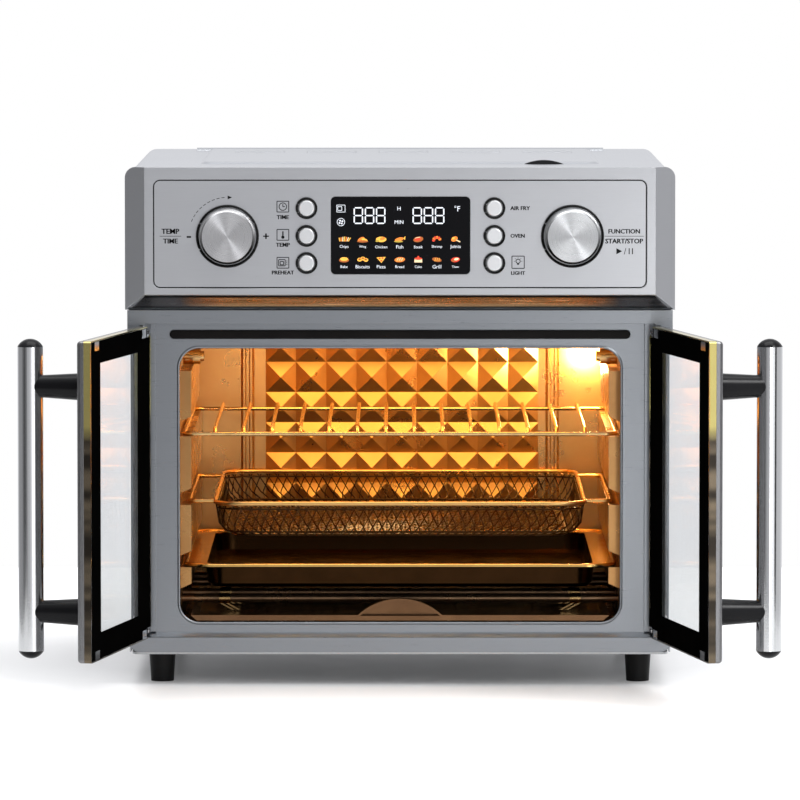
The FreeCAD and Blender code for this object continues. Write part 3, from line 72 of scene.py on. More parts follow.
def place_camera():
    data = bpy.data.cameras.new("camera")
    data.lens = CAMERA_LENS
    data.sensor_width = 36.0
    data.clip_end = 200.0
    camera = bpy.data.objects.new("camera", data)
    camera.location = (0.0, FRONT - CAMERA_DISTANCE, CAMERA_HEIGHT)
    camera.rotation_euler = (math.radians(90) - CAMERA_DIP, 0.0, 0.0)
    scene.collection.objects.link(camera)
    scene.camera = camera


place_camera()


# ------------------------------------------------------------------ node helpers
def add(tree, kind, **settings):
    """A new node; settings named like its properties are set on it."""
    node = tree.nodes.new(kind)
    for name, value in settings.items():
        setattr(node, name, value)
    return node


def set_inputs(node, **values):
    """Set unlinked sockets by name, with spaces written as underscores."""
    for name, value in values.items():
        node.inputs[name.replace("_", " ")].default_value = value


def join(tree, source, target):
    tree.links.new(source, target)


def maths(tree, operation, first, second=None):
    """A Math node; its inputs are sockets or plain numbers."""
    node = add(tree, "ShaderNodeMath", operation=operation)
    for socket, value in zip(node.inputs, (first, second)):
        if value is None:
            continue
        if isinstance(value, (int, float)):
            socket.default_value = value
        else:
            join(tree, value, socket)
    return node.outputs["Value"]


def blend_colour(tree, factor, first, second):
    """A colour between two, by a factor socket."""
    node = add(tree, "ShaderNodeMix", data_type="RGBA")
    join(tree, factor, node.inputs["Factor"])
    for socket, value in ((node.inputs[6], first), (node.inputs[7], second)):
        if isinstance(value, tuple):
            socket.default_value = (*value[:3], 1.0)
        else:
            join(tree, value, socket)
    return node.outputs[2]


def spread(tree, value, low, high, to_low=0.0, to_high=1.0):
    """Map a value from one range to another, held at the ends."""
    node = add(tree, "ShaderNodeMapRange")
    join(tree, value, node.inputs["Value"])
    set_inputs(node, From_Min=low, From_Max=high, To_Min=to_low, To_Max=to_high)
    return node.outputs["Result"]


def object_axes(tree):
    """A part's own x, y and z coordinates, as sockets."""
    axes = add(tree, "ShaderNodeSeparateXYZ")
    join(tree, add(tree, "ShaderNodeTexCoord").outputs["Object"], axes.inputs["Vector"])
    return axes.outputs


def new_group(name, takes, gives):
    """A shader node group with named sockets; returns its tree, inputs and outputs."""
    tree = bpy.data.node_groups.new(name, "ShaderNodeTree")
    for label, kind, value in takes:
        socket = tree.interface.new_socket(label, in_out="INPUT", socket_type="NodeSocket" + kind)
        socket.default_value = value
    for label, kind in gives:
        tree.interface.new_socket(label, in_out="OUTPUT", socket_type="NodeSocket" + kind)
    start = tree.nodes.new("NodeGroupInput")
    end = tree.nodes.new("NodeGroupOutput")
    return tree, start.outputs, end.inputs


def use_group(tree, group, **values):
    node = add(tree, "ShaderNodeGroup", node_tree=group)
    set_inputs(node, **values)
    return node


# ------------------------------------------------------------------ shared effects
def build_brushed_grain():
    """Fine parallel scratches along one axis, with slow cloudy unevenness and painted light along edges, by
    Edge Light; negative, it is painted shade.
    """
    tree, takes, gives = new_group(
        "brushed_grain",
        [
            ("Colour", "Color", (0.6, 0.6, 0.6, 1.0)),
            ("Stretch", "Vector", (1.0, 1.0, 60.0)),
            ("Streak Depth", "Float", 0.10),
            ("Roughness", "Float", 0.35),
            ("Roughness Spread", "Float", 0.08),
            ("Relief", "Float", 0.06),
            ("Edge Radius", "Float", 0.0006),
            ("Edge Light", "Float", 0.25),
        ],
        [("Colour", "Color"), ("Roughness", "Float"), ("Normal", "Vector")],
    )
    place = add(tree, "ShaderNodeTexCoord").outputs["Object"]
    along = add(tree, "ShaderNodeVectorMath", operation="MULTIPLY")
    join(tree, place, along.inputs[0])
    join(tree, takes["Stretch"], along.inputs[1])
    streak = add(tree, "ShaderNodeTexNoise")
    join(tree, along.outputs["Vector"], streak.inputs["Vector"])
    set_inputs(streak, Scale=48.0, Detail=5.0, Roughness=0.6)
    cloud = add(tree, "ShaderNodeTexNoise")
    join(tree, place, cloud.inputs["Vector"])
    set_inputs(cloud, Scale=9.0, Detail=3.0)
    shade = spread(tree, streak.outputs["Fac"], 0.25, 0.75, -1.0, 1.0)
    shade = maths(tree, "MULTIPLY", shade, takes["Streak Depth"])
    mist = maths(tree, "MULTIPLY", maths(tree, "SUBTRACT", cloud.outputs["Fac"], 0.5), 0.05)
    shade = maths(tree, "ADD", maths(tree, "ADD", shade, mist), 1.0)
    bevel_edge = add(tree, "ShaderNodeBevel", samples=4)
    join(tree, takes["Edge Radius"], bevel_edge.inputs["Radius"])
    flat = add(tree, "ShaderNodeNewGeometry").outputs["Normal"]
    turn = add(tree, "ShaderNodeVectorMath", operation="DOT_PRODUCT")
    join(tree, bevel_edge.outputs["Normal"], turn.inputs[0])
    join(tree, flat, turn.inputs[1])
    # painted edge light: the colour is scaled by Edge Light where the bevel normal turns from the face
    # normal; negative, it paints shade
    edge = spread(tree, turn.outputs["Value"], 0.99, 0.80)
    shade = maths(tree, "ADD", shade, maths(tree, "MULTIPLY", edge, takes["Edge Light"]))
    tone = add(tree, "ShaderNodeVectorMath", operation="SCALE")
    join(tree, takes["Colour"], tone.inputs[0])
    join(tree, shade, tone.inputs["Scale"])
    join(tree, tone.outputs["Vector"], gives["Colour"])
    rough = maths(tree, "MULTIPLY", spread(tree, streak.outputs["Fac"], 0.2, 0.8, -1.0, 1.0),
                  takes["Roughness Spread"])
    join(tree, maths(tree, "ADD", rough, takes["Roughness"]), gives["Roughness"])
    relief = add(tree, "ShaderNodeBump")
    set_inputs(relief, Distance=0.0002)
    join(tree, takes["Relief"], relief.inputs["Strength"])
    join(tree, streak.outputs["Fac"], relief.inputs["Height"])
    join(tree, bevel_edge.outputs["Normal"], relief.inputs["Normal"])
    join(tree, relief.outputs["Normal"], gives["Normal"])
    return tree


def build_handled_surface():
    """Uneven tone, smudged gloss and a fine pitted skin, for polished, moulded and cast surfaces."""
    tree, takes, gives = new_group(
        "handled_surface",
        [
            ("Colour", "Color", (0.1, 0.1, 0.1, 1.0)),
            ("Second Colour", "Color", (0.12, 0.12, 0.12, 1.0)),
            ("Patch Scale", "Float", 30.0),
            ("Patches", "Float", 0.6),
            ("Skin Scale", "Float", 900.0),
            ("Skin Relief", "Float", 0.08),
            ("Roughness", "Float", 0.3),
            ("Roughness Spread", "Float", 0.06),
        ],
        [("Colour", "Color"), ("Roughness", "Float"), ("Normal", "Vector")],
    )
    place = add(tree, "ShaderNodeTexCoord").outputs["Object"]
    patch = add(tree, "ShaderNodeTexNoise")
    join(tree, place, patch.inputs["Vector"])
    join(tree, takes["Patch Scale"], patch.inputs["Scale"])
    set_inputs(patch, Detail=4.0, Roughness=0.6)
    level = spread(tree, patch.outputs["Fac"], 0.35, 0.68)
    share = maths(tree, "MULTIPLY", level, takes["Patches"])
    join(tree, blend_colour(tree, share, takes["Colour"], takes["Second Colour"]), gives["Colour"])
    rough = maths(tree, "MULTIPLY", maths(tree, "SUBTRACT", level, 0.5), takes["Roughness Spread"])
    join(tree, maths(tree, "ADD", rough, takes["Roughness"]), gives["Roughness"])
    skin = add(tree, "ShaderNodeTexNoise")
    join(tree, place, skin.inputs["Vector"])
    join(tree, takes["Skin Scale"], skin.inputs["Scale"])
    set_inputs(skin, Detail=2.0)
    relief = add(tree, "ShaderNodeBump")
    set_inputs(relief, Distance=0.0002)
    join(tree, takes["Skin Relief"], relief.inputs["Strength"])
    join(tree, skin.outputs["Fac"], relief.inputs["Height"])
    join(tree, relief.outputs["Normal"], gives["Normal"])
    return tree


PAINTED_GLINT_TURN = math.radians(122.0)      # angle of the painted highlight wedges on a turned face, counted from the right
PAINTED_GLINT_SHARPNESS = 9.0
PAINTED_GLINT_GAIN = 0.75
RINGS_PER_METRE = 2400.0
SKIRT_INNER, SKIRT_OUTER = 0.0200, 0.0204      # the face ends and the knob's side starts, as radii


def build_spun_face():
    """Fine turned rings about an axis, two painted highlight wedges across the face and painted shade on the
    lower side.
    """
    tree, takes, gives = new_group(
        "spun_face",
        [
            ("Colour", "Color", (0.5, 0.5, 0.5, 1.0)),
            ("Centre", "Vector", (0.0, 0.0, 0.0)),
            ("Roughness", "Float", 0.3),
        ],
        [("Colour", "Color"), ("Roughness", "Float"), ("Normal", "Vector")],
    )
    offset = add(tree, "ShaderNodeVectorMath", operation="SUBTRACT")
    join(tree, add(tree, "ShaderNodeTexCoord").outputs["Object"], offset.inputs[0])
    join(tree, takes["Centre"], offset.inputs[1])
    flatten = add(tree, "ShaderNodeVectorMath", operation="MULTIPLY")
    join(tree, offset.outputs["Vector"], flatten.inputs[0])
    flatten.inputs[1].default_value = (1.0, 0.0, 1.0)
    reach = add(tree, "ShaderNodeVectorMath", operation="LENGTH")
    join(tree, flatten.outputs["Vector"], reach.inputs[0])
    rings = add(tree, "ShaderNodeTexNoise", noise_dimensions="1D")
    join(tree, maths(tree, "MULTIPLY", reach.outputs["Value"], RINGS_PER_METRE), rings.inputs["W"])
    set_inputs(rings, Scale=1.0, Detail=4.0)
    shade = spread(tree, rings.outputs["Fac"], 0.3, 0.7, 0.92, 1.05)
    parts = add(tree, "ShaderNodeSeparateXYZ")
    join(tree, flatten.outputs["Vector"], parts.inputs["Vector"])
    # painted highlight: two wedges of lighter colour, set by angle round the axis
    turn = maths(tree, "ARCTAN2", parts.outputs["Z"], parts.outputs["X"])
    painted_glint = maths(tree, "COSINE", maths(tree, "MULTIPLY", maths(tree, "SUBTRACT", turn, PAINTED_GLINT_TURN), 2.0))
    painted_glint = maths(tree, "POWER", spread(tree, painted_glint, 0.0, 1.0), PAINTED_GLINT_SHARPNESS)
    highlight_scale = maths(tree, "ADD", maths(tree, "MULTIPLY", painted_glint, PAINTED_GLINT_GAIN), 1.0)
    tone = add(tree, "ShaderNodeVectorMath", operation="SCALE")
    join(tree, takes["Colour"], tone.inputs[0])
    join(tree, maths(tree, "MULTIPLY", shade, highlight_scale), tone.inputs["Scale"])
    # painted shade: the lower part of the knob's side is blended towards near black
    side = spread(tree, reach.outputs["Value"], SKIRT_INNER, SKIRT_OUTER)
    below = maths(tree, "MULTIPLY", spread(tree, parts.outputs["Z"], 0.004, -0.010, 0.25, 1.0), side)
    lower_side_painted_shade = blend_colour(tree, below, tone.outputs["Vector"], (0.015, 0.015, 0.015))
    join(tree, lower_side_painted_shade, gives["Colour"])
    rough = spread(tree, rings.outputs["Fac"], 0.3, 0.7, -0.04, 0.05)
    join(tree, maths(tree, "ADD", rough, takes["Roughness"]), gives["Roughness"])
    relief = add(tree, "ShaderNodeBump")
    set_inputs(relief, Strength=0.12, Distance=0.0001)
    join(tree, rings.outputs["Fac"], relief.inputs["Height"])
    join(tree, relief.outputs["Normal"], gives["Normal"])
    return tree


BRUSHED_GRAIN = build_brushed_grain()
HANDLED_SURFACE = build_handled_surface()
SPUN_FACE = build_spun_face()


# ------------------------------------------------------------------ materials
def new_material(name):
    material = bpy.data.materials.new(name)
    material.use_nodes = True
    tree = material.node_tree
    shader = tree.nodes["Principled BSDF"]
    return material, tree, shader


def feed(tree, group, shader):
    """Send a group's colour, roughness and normal to the shader."""
    join(tree, group.outputs["Colour"], shader.inputs["Base Color"])
    join(tree, group.outputs["Roughness"], shader.inputs["Roughness"])
    join(tree, group.outputs["Normal"], shader.inputs["Normal"])


def brushed_metal(name, colour, roughness, stretch, streak):
    """Brushed sheet, with painted shade along its bent edges."""
    material, tree, shader = new_material(name)
    grain = use_group(
        tree, BRUSHED_GRAIN, Colour=(*colour, 1.0), Stretch=stretch, Streak_Depth=streak, Roughness=roughness,
        Relief=0.05, Edge_Radius=0.0006, Edge_Light=-0.30,
    )
    feed(tree, grain, shader)
    set_inputs(shader, Metallic=1.0)
    return material


def handled(name, colour, second, roughness=0.3, spread_by=0.06, metallic=0.0, patch_scale=30.0, patches=0.6,
            skin_scale=900.0, skin=0.08, specular=0.5):
    material, tree, shader = new_material(name)
    surface = use_group(
        tree, HANDLED_SURFACE, Colour=(*colour, 1.0), Second_Colour=(*second, 1.0), Patch_Scale=patch_scale,
        Patches=patches, Skin_Scale=skin_scale, Skin_Relief=skin, Roughness=roughness,
        Roughness_Spread=spread_by,
    )
    feed(tree, surface, shader)
    set_inputs(shader, Metallic=metallic, Specular_IOR_Level=specular)
    return material


def clear_glass(name, colour, roughness):
    """Thin clear glass with faint reflections."""
    material, tree, shader = new_material(name)
    surface = use_group(
        tree, HANDLED_SURFACE, Colour=(*colour, 1.0), Second_Colour=(*[c * 0.97 for c in colour], 1.0),
        Patch_Scale=8.0, Roughness=roughness, Roughness_Spread=0.02, Skin_Relief=0.0,
    )
    join(tree, surface.outputs["Colour"], shader.inputs["Base Color"])
    join(tree, surface.outputs["Roughness"], shader.inputs["Roughness"])
    set_inputs(shader, Transmission_Weight=1.0, IOR=1.05)
    return material


def lit_print(name, colour, glow):
    """Printing, or a lit figure where it is given a glow."""
    material, tree, shader = new_material(name)
    surface = use_group(
        tree, HANDLED_SURFACE, Colour=(*colour, 1.0), Second_Colour=(*[c * 0.86 for c in colour], 1.0),
        Patch_Scale=400.0, Patches=0.8, Roughness=0.45, Skin_Relief=0.02,
    )
    feed(tree, surface, shader)
    join(tree, surface.outputs["Colour"], shader.inputs["Emission Color"])
    set_inputs(shader, Emission_Strength=glow, Specular_IOR_Level=0.15)
    return material


def rim_painted_highlight(name, colour, rim_highlight_colour, painted_highlight_from, roughness=0.2):
    """Dark polished metal with a painted highlight, a lighter colour above a height, at its rim."""
    material, tree, shader = new_material(name)
    surface = use_group(
        tree, HANDLED_SURFACE, Colour=(*colour, 1.0), Second_Colour=(*[c * 0.6 for c in colour], 1.0),
        Patch_Scale=40.0, Roughness=roughness, Roughness_Spread=0.08, Skin_Relief=0.04,
    )
    feed(tree, surface, shader)
    # painted highlight: the colour turns to the rim colour above a height
    upper = spread(tree, object_axes(tree)["Z"], painted_highlight_from, painted_highlight_from + 0.0005)
    join(tree, blend_colour(tree, upper, surface.outputs["Colour"], rim_highlight_colour), shader.inputs["Base Color"])
    set_inputs(shader, Metallic=1.0)
    return material


def two_depths(name, near, far, split, roughness=0.18):
    """A polished collar: one tone in front of a y plane and another behind it."""
    material, tree, shader = new_material(name)
    behind = spread(tree, object_axes(tree)["Y"], split - 0.0002, split + 0.0002)
    join(tree, blend_colour(tree, behind, near, far), shader.inputs["Base Color"])
    smudge = add(tree, "ShaderNodeTexNoise")
    set_inputs(smudge, Scale=120.0, Detail=3.0)
    join(tree, spread(tree, smudge.outputs["Fac"], 0.3, 0.7, roughness - 0.03, roughness + 0.05),
         shader.inputs["Roughness"])
    set_inputs(shader, Metallic=1.0)
    return material


def painted_reflection_rim(name):
    """Polished rim with a painted reflection: yellow near its top, dark brown bands below."""
    material, tree, shader = new_material(name)
    height = object_axes(tree)["Z"]
    bands = add(tree, "ShaderNodeTexNoise", noise_dimensions="1D")
    join(tree, maths(tree, "MULTIPLY", height, 42.0), bands.inputs["W"])
    set_inputs(bands, Scale=1.0, Detail=2.0)
    # painted reflection: dark brown bands by height, turning yellow near the top
    brown = blend_colour(tree, spread(tree, bands.outputs["Fac"], 0.42, 0.62), (0.045, 0.038, 0.030),
                         (0.20, 0.16, 0.11))
    upper = spread(tree, height, 0.212, 0.224)
    join(tree, blend_colour(tree, upper, brown, (0.55, 0.47, 0.17)), shader.inputs["Base Color"])
    join(tree, spread(tree, bands.outputs["Fac"], 0.3, 0.7, 0.14, 0.22), shader.inputs["Roughness"])
    set_inputs(shader, Metallic=1.0)
    return material


def spun_metal(name, colour, centre_x, centre_z, roughness=0.3):
    """Metal turned on a lathe, with its sheen drawn out round the axis, and painted highlight wedges and
    painted shade from its face group.
    """
    material, tree, shader = new_material(name)
    face = use_group(
        tree, SPUN_FACE, Colour=(*colour, 1.0), Centre=(centre_x, 0.0, centre_z), Roughness=roughness,
    )
    feed(tree, face, shader)
    turned = add(tree, "ShaderNodeTangent", direction_type="RADIAL", axis="Y")
    join(tree, turned.outputs["Tangent"], shader.inputs["Tangent"])
    set_inputs(shader, Metallic=1.0, Anisotropic=0.85)
    return material


def brow_mirror(name):
    """Dark mirror strip with a painted gold reflection along its middle, and black edges."""
    material, tree, shader = new_material(name)
    place = object_axes(tree)
    # painted reflection: a gold band across the middle of the strip, in cloudy patches
    middle = spread(tree, maths(tree, "ABSOLUTE", place["X"]), 0.175, 0.135)
    wave = add(tree, "ShaderNodeTexNoise")
    set_inputs(wave, Scale=9.0, Detail=2.0)
    painted_reflection_clouds = spread(tree, wave.outputs["Fac"], 0.38, 0.62)
    gold = blend_colour(tree, painted_reflection_clouds, (0.68, 0.42, 0.20), (0.95, 0.62, 0.32))
    colour = blend_colour(tree, middle, (0.15, 0.15, 0.16), gold)
    low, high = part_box("brow_trim")
    upper = spread(tree, place["Z"], high.z - 0.0022, high.z - 0.0008)
    lower = spread(tree, place["Z"], low.z + 0.0018, low.z + 0.0008)
    edge = maths(tree, "MAXIMUM", upper, lower)
    join(tree, blend_colour(tree, edge, colour, (0.012, 0.012, 0.012)), shader.inputs["Base Color"])
    join(tree, spread(tree, wave.outputs["Fac"], 0.3, 0.7, 0.18, 0.28), shader.inputs["Roughness"])
    set_inputs(shader, Metallic=0.9)
    return material


STEEL = (0.50, 0.515, 0.54)
ACROSS = (1.0, 1.0, 60.0)      # scratches that run left to right
UPRIGHT = (60.0, 60.0, 1.0)    # scratches that run up and down
DEEP = (60.0, 1.0, 60.0)       # scratches that run front to back


def finish_nodes():
    """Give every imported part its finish."""
    ring_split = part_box("control_rings")[0].y + 2.2 * MM
    # height above which the pan's rim gets its painted highlight
    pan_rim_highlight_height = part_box("baking_pan")[1].z - 2.6 * MM
    finishes = {
        brushed_metal("brushed_casing", STEEL, 0.36, DEEP, 0.04): ["casing"],
        brushed_metal("brushed_housing", (0.52, 0.53, 0.55), 0.34, ACROSS, 0.03): ["control_housing"],
        brushed_metal("brushed_bezel", (0.275, 0.29, 0.31), 0.32, ACROSS, 0.03): ["front_bezel"],
        brushed_metal("brushed_door", (0.24, 0.24, 0.245), 0.28, UPRIGHT, 0.05): [
            "left_door_frame", "right_door_frame"],
        brushed_metal("zinc_sheet", (0.50, 0.51, 0.52), 0.42, (8.0, 8.0, 8.0), 0.12): [
            "rear_cover", "base_plate", "fan_chamber"],
        handled("polished_rim", (0.42, 0.42, 0.43), (0.34, 0.34, 0.35), 0.12, 0.05, 1.0, 60.0): [
            "left_door_fittings", "right_door_fittings", "hinge_ears"],
        painted_reflection_rim("painted_reflection_rim"): ["left_door_trim", "right_door_trim"],
        handled("polished_tube", (0.76, 0.77, 0.78), (0.70, 0.71, 0.72), 0.12, 0.04, 1.0, 12.0): [
            "left_handle_tube", "right_handle_tube"],
        two_depths("bright_collar", (0.50, 0.50, 0.51), (0.05, 0.05, 0.05), ring_split): ["control_rings"],
        # rack wire and heater brackets: their gold is painted lamp light on bright wire
        handled("plated_wire", (0.74, 0.50, 0.22), (0.42, 0.25, 0.10), 0.22, 0.08, 1.0, 90.0): [
            "wire_rack", "heater_brackets"],
        handled("satin_button", (0.78, 0.79, 0.80), (0.72, 0.73, 0.74), 0.30, 0.05, 0.7, 120.0): [
            "time_button", "temp_button", "preheat_button", "air_fry_button", "oven_button", "light_button"],
        # cavity sheet: its warm orange is painted lamp light, with the roof, floor and back set lighter than
        # the walls
        handled("painted_lamp_light_walls", (0.50, 0.27, 0.10), (0.34, 0.16, 0.055), 0.30, 0.10, 0.9, 22.0, 0.7,
                skin_scale=700.0, skin=0.06): ["side_walls"],
        handled("painted_lamp_light_roof", (0.62, 0.38, 0.15), (0.46, 0.25, 0.09), 0.30, 0.10, 0.9, 22.0, 0.7): [
            "cavity_roof"],
        handled("painted_lamp_light_floor", (0.55, 0.30, 0.15), (0.42, 0.22, 0.10), 0.26, 0.10, 0.8, 22.0, 0.7): [
            "cavity_floor"],
        handled("painted_lamp_light_pressed_back", (0.60, 0.36, 0.14), (0.50, 0.28, 0.10), 0.30, 0.08, 0.92, 22.0, 0.6): [
            "back_wall"],
        rim_painted_highlight("baked_enamel", (0.030, 0.014, 0.005), (0.70, 0.42, 0.13), pan_rim_highlight_height): ["baking_pan"],
        # crumb tray: its copper tone is painted lamp light on aluminium
        handled("tray_painted_lamp_light", (0.20, 0.105, 0.05), (0.12, 0.06, 0.03), 0.22, 0.10, 0.95, 26.0): [
            "crumb_tray"],
        handled("heated_tube", (0.40, 0.25, 0.14), (0.24, 0.15, 0.09), 0.32, 0.12, 0.9, 70.0, 0.9): [
            "upper_heaters", "lower_heaters"],
        handled("black_moulding", (0.008, 0.008, 0.009), (0.014, 0.014, 0.015), 0.42, 0.08, 0.0, 40.0, 0.5,
                skin_scale=1500.0, skin=0.15, specular=0.2): [
            "rear_spacers", "cable_gland", "vent_tab", "start_plunger", "switches"],
        handled("foot_rubber", (0.006, 0.006, 0.006), (0.012, 0.012, 0.012), 0.45, 0.10, 0.0, 60.0, 0.6,
                skin_scale=1100.0, skin=0.20, specular=0.15): ["feet"],
        handled("seal_rubber", (0.006, 0.005, 0.005), (0.012, 0.010, 0.009), 0.38, 0.08, 0.0, 60.0, 0.6,
                specular=0.08): ["seal_strip"],
        handled("handle_gloss", (0.005, 0.005, 0.006), (0.010, 0.010, 0.011), 0.22, 0.06, 0.0, 30.0, 0.5,
                skin_scale=1300.0, skin=0.04, specular=0.16): [
            "left_handle_fittings", "right_handle_fittings"],
        handled("display_gloss", (0.003, 0.003, 0.004), (0.006, 0.006, 0.007), 0.10, 0.03, 0.0, 20.0, 0.5,
                skin=0.0, specular=0.12): ["display_window"],
        brow_mirror("brow_mirror"): ["brow_trim"],
        # the left knob gets a darker tone than the right one, though it is the same metal: painted shade
        spun_metal("left_knob_spun", (0.50, 0.50, 0.51), *axis_of("left_knob")): ["left_knob"],
        spun_metal("right_knob_spun", (0.56, 0.57, 0.58), *axis_of("right_knob")): ["right_knob"],
        handled("screw_steel", (0.45, 0.45, 0.46), (0.36, 0.36, 0.36), 0.30, 0.08, 1.0, 200.0): [
            "screws", "encoders", "fan_shaft"],
        handled("glazed_ceramic", (0.78, 0.74, 0.66), (0.70, 0.65, 0.56), 0.22, 0.06, 0.0, 60.0): [
            "heater_ends", "lamp_holder"],
        handled("mineral_wool", (0.66, 0.60, 0.42), (0.54, 0.48, 0.32), 0.92, 0.05, 0.0, 120.0, 0.9,
                skin_scale=320.0, skin=0.9): ["insulation"],
        handled("motor_iron", (0.11, 0.11, 0.12), (0.20, 0.15, 0.11), 0.48, 0.10, 0.6, 60.0, 0.8): [
            "fan_motor"],
        handled("circuit_board", (0.03, 0.16, 0.07), (0.05, 0.22, 0.10), 0.38, 0.08, 0.0, 160.0): [
            "control_board", "relay_board"],
        handled("fan_sheet", (0.58, 0.57, 0.55), (0.48, 0.46, 0.42), 0.30, 0.10, 0.95, 50.0): [
            "convection_fan"],
        clear_glass("door_pane", (0.97, 0.98, 0.98), 0.02): ["left_door_glass", "right_door_glass"],
        clear_glass("lamp_pane", (1.0, 0.93, 0.78), 0.05): ["lamp_lens"],
        lit_print("lamp_glow", (1.0, 0.76, 0.42), 20.0): ["lamp_bulb"],
    }
    for material, names in finishes.items():
        for name in names:
            slots = nodes[name].data.materials
            slots.clear()
            slots.append(material)


def axis_of(node):
    """Where a turned part's axis crosses the panel, as x and z."""
    low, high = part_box(node)
    return (low.x + high.x) / 2, (low.z + high.z) / 2


finish_nodes()


# ------------------------------------------------------------------ mesh helpers
def new_piece(name, mesh, materials, body):
    """Link a mesh as a piece that rides on a body."""
    piece = bpy.data.objects.new(name, mesh)
    scene.collection.objects.link(piece)
    for material in materials:
        mesh.materials.append(material)
    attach(piece, body)
    return piece


def mesh_from(builder, name):
    mesh = bpy.data.meshes.new(name)
    builder.to_mesh(mesh)
    builder.free()
    return mesh


def smooth(mesh, angle=math.radians(40)):
    for face in mesh.polygons:
        face.use_smooth = True
    mesh.set_sharp_from_angle(angle=angle)


def plate(builder, points, front, back, material=0):
    """A flat-faced solid from an outline of (x, z) points in metres, between two y planes."""
    near = [builder.verts.new((x, front, z)) for x, z in points]
    far = [builder.verts.new((x, back, z)) for x, z in points]
    faces = [builder.faces.new(near), builder.faces.new(list(reversed(far)))]
    for number, corner in enumerate(near):
        following = (number + 1) % len(near)
        faces.append(builder.faces.new((near[number], far[number], far[following], near[following])))
    for face in faces:
        face.material_index = material


def ring_points(x, z, radius, count):
    """Points evenly round a circle, as (x, z)."""
    turns = [2 * math.pi * number / count for number in range(count)]
    return [(x + radius * math.cos(turn), z + radius * math.sin(turn)) for turn in turns]


def close_outline_faces(builder):
    bmesh.ops.recalc_face_normals(builder, faces=builder.faces[:])


# ------------------------------------------------------------------ printing on the control panel, with a painted shadow line round its recess
BLACK_PRINT = lit_print("black_print", (0.008, 0.008, 0.008), 0.0)
WHITE_LIGHT = lit_print("white_light", (0.80, 0.84, 0.90), 0.55)
FOOD_COLOURS = {
    "gold": lit_print("food_gold", (0.95, 0.50, 0.08), 0.55),
    "orange": lit_print("food_orange", (0.85, 0.24, 0.04), 0.55),
    "brown": lit_print("food_brown", (0.42, 0.12, 0.03), 0.5),
    "cream": lit_print("food_cream", (0.92, 0.70, 0.42), 0.5),
    "red": lit_print("food_red", (0.72, 0.06, 0.03), 0.5),
    "green": lit_print("food_green", (0.50, 0.36, 0.06), 0.45),
}
FOOD_ORDER = list(FOOD_COLOURS)
PRINT_PROUD = 0.06 * MM


def write_words(builder, words, centre_x, centre_z, width, face, weight=0.0):
    """Lettering of a given width in millimetres, standing on an upright face."""
    text = bpy.data.curves.new("words", "FONT")
    text.body = words
    text.align_x = "CENTER"
    text.align_y = "CENTER"
    text.resolution_u = 2
    text.offset = weight
    carrier = bpy.data.objects.new("words", text)
    scene.collection.objects.link(carrier)
    bpy.context.view_layer.update()
    mesh = bpy.data.meshes.new_from_object(carrier.evaluated_get(bpy.context.evaluated_depsgraph_get()))
    bpy.data.objects.remove(carrier)
    across = [corner.co.x for corner in mesh.vertices]
    upward = [corner.co.y for corner in mesh.vertices]
    scale = width * MM / (max(across) - min(across))
    middle = Vector(((max(across) + min(across)) / 2, (max(upward) + min(upward)) / 2, 0.0))
    stand = Matrix((
        (scale, 0, 0, centre_x * MM),
        (0, 0, -1, face - PRINT_PROUD),
        (0, scale, 0, centre_z * MM),
        (0, 0, 0, 1),
    ))
    mesh.transform(stand @ Matrix.Translation(-middle))
    builder.from_mesh(mesh)
    bpy.data.meshes.remove(mesh)


def draw_shape(builder, points, face, material=0):
    """A small printed shape from (x, z) points in millimetres."""
    plate(builder, [(x * MM, z * MM) for x, z in points], face - PRINT_PROUD, face, material)


def draw_bar(builder, x0, z0, x1, z1, width, face, material=0):
    """A straight printed line between two points."""
    run = Vector((x1 - x0, z1 - z0))
    side = Vector((-run.y, run.x)).normalized() * width / 2
    corners = [(x0 - side.x, z0 - side.y), (x1 - side.x, z1 - side.y),
               (x1 + side.x, z1 + side.y), (x0 + side.x, z0 + side.y)]
    draw_shape(builder, corners, face, material)


def draw_path(builder, points, width, face, closed=False):
    ends = points[1:] + points[:1] if closed else points[1:]
    for (x0, z0), (x1, z1) in zip(points, ends):
        draw_bar(builder, x0, z0, x1, z1, width, face)


def draw_box(builder, x, z, half_width, half_height, width, face):
    corners = [(x - half_width, z - half_height), (x + half_width, z - half_height),
               (x + half_width, z + half_height), (x - half_width, z + half_height)]
    draw_path(builder, corners, width, face, closed=True)


ICON_X = -93.4
ICON_LINE = 0.68


def draw_clock(builder, x, z):
    draw_box(builder, x, z, 4.7, 4.3, ICON_LINE, PANEL_FACE)
    draw_path(builder, ring_points(x, z, 3.0, 20), ICON_LINE, PANEL_FACE, closed=True)
    draw_path(builder, [(x, z + 2.0), (x, z), (x + 1.6, z)], ICON_LINE, PANEL_FACE)


def draw_thermometer(builder, x, z):
    draw_box(builder, x, z, 4.7, 4.3, ICON_LINE, PANEL_FACE)
    draw_shape(builder, ring_points(x, z - 1.9, 1.3, 16), PANEL_FACE)
    draw_bar(builder, x, z - 1.5, x, z + 2.8, 1.1, PANEL_FACE)


def draw_small_oven(builder, x, z):
    draw_box(builder, x, z, 4.7, 4.3, ICON_LINE, PANEL_FACE)
    draw_box(builder, x - 0.8, z, 2.6, 2.5, ICON_LINE, PANEL_FACE)
    draw_box(builder, x - 0.8, z - 0.3, 1.4, 1.3, ICON_LINE, PANEL_FACE)
    for step in (-1.4, 0.0, 1.4):
        draw_shape(builder, ring_points(x + 3.1, z + step, 0.45, 10), PANEL_FACE)


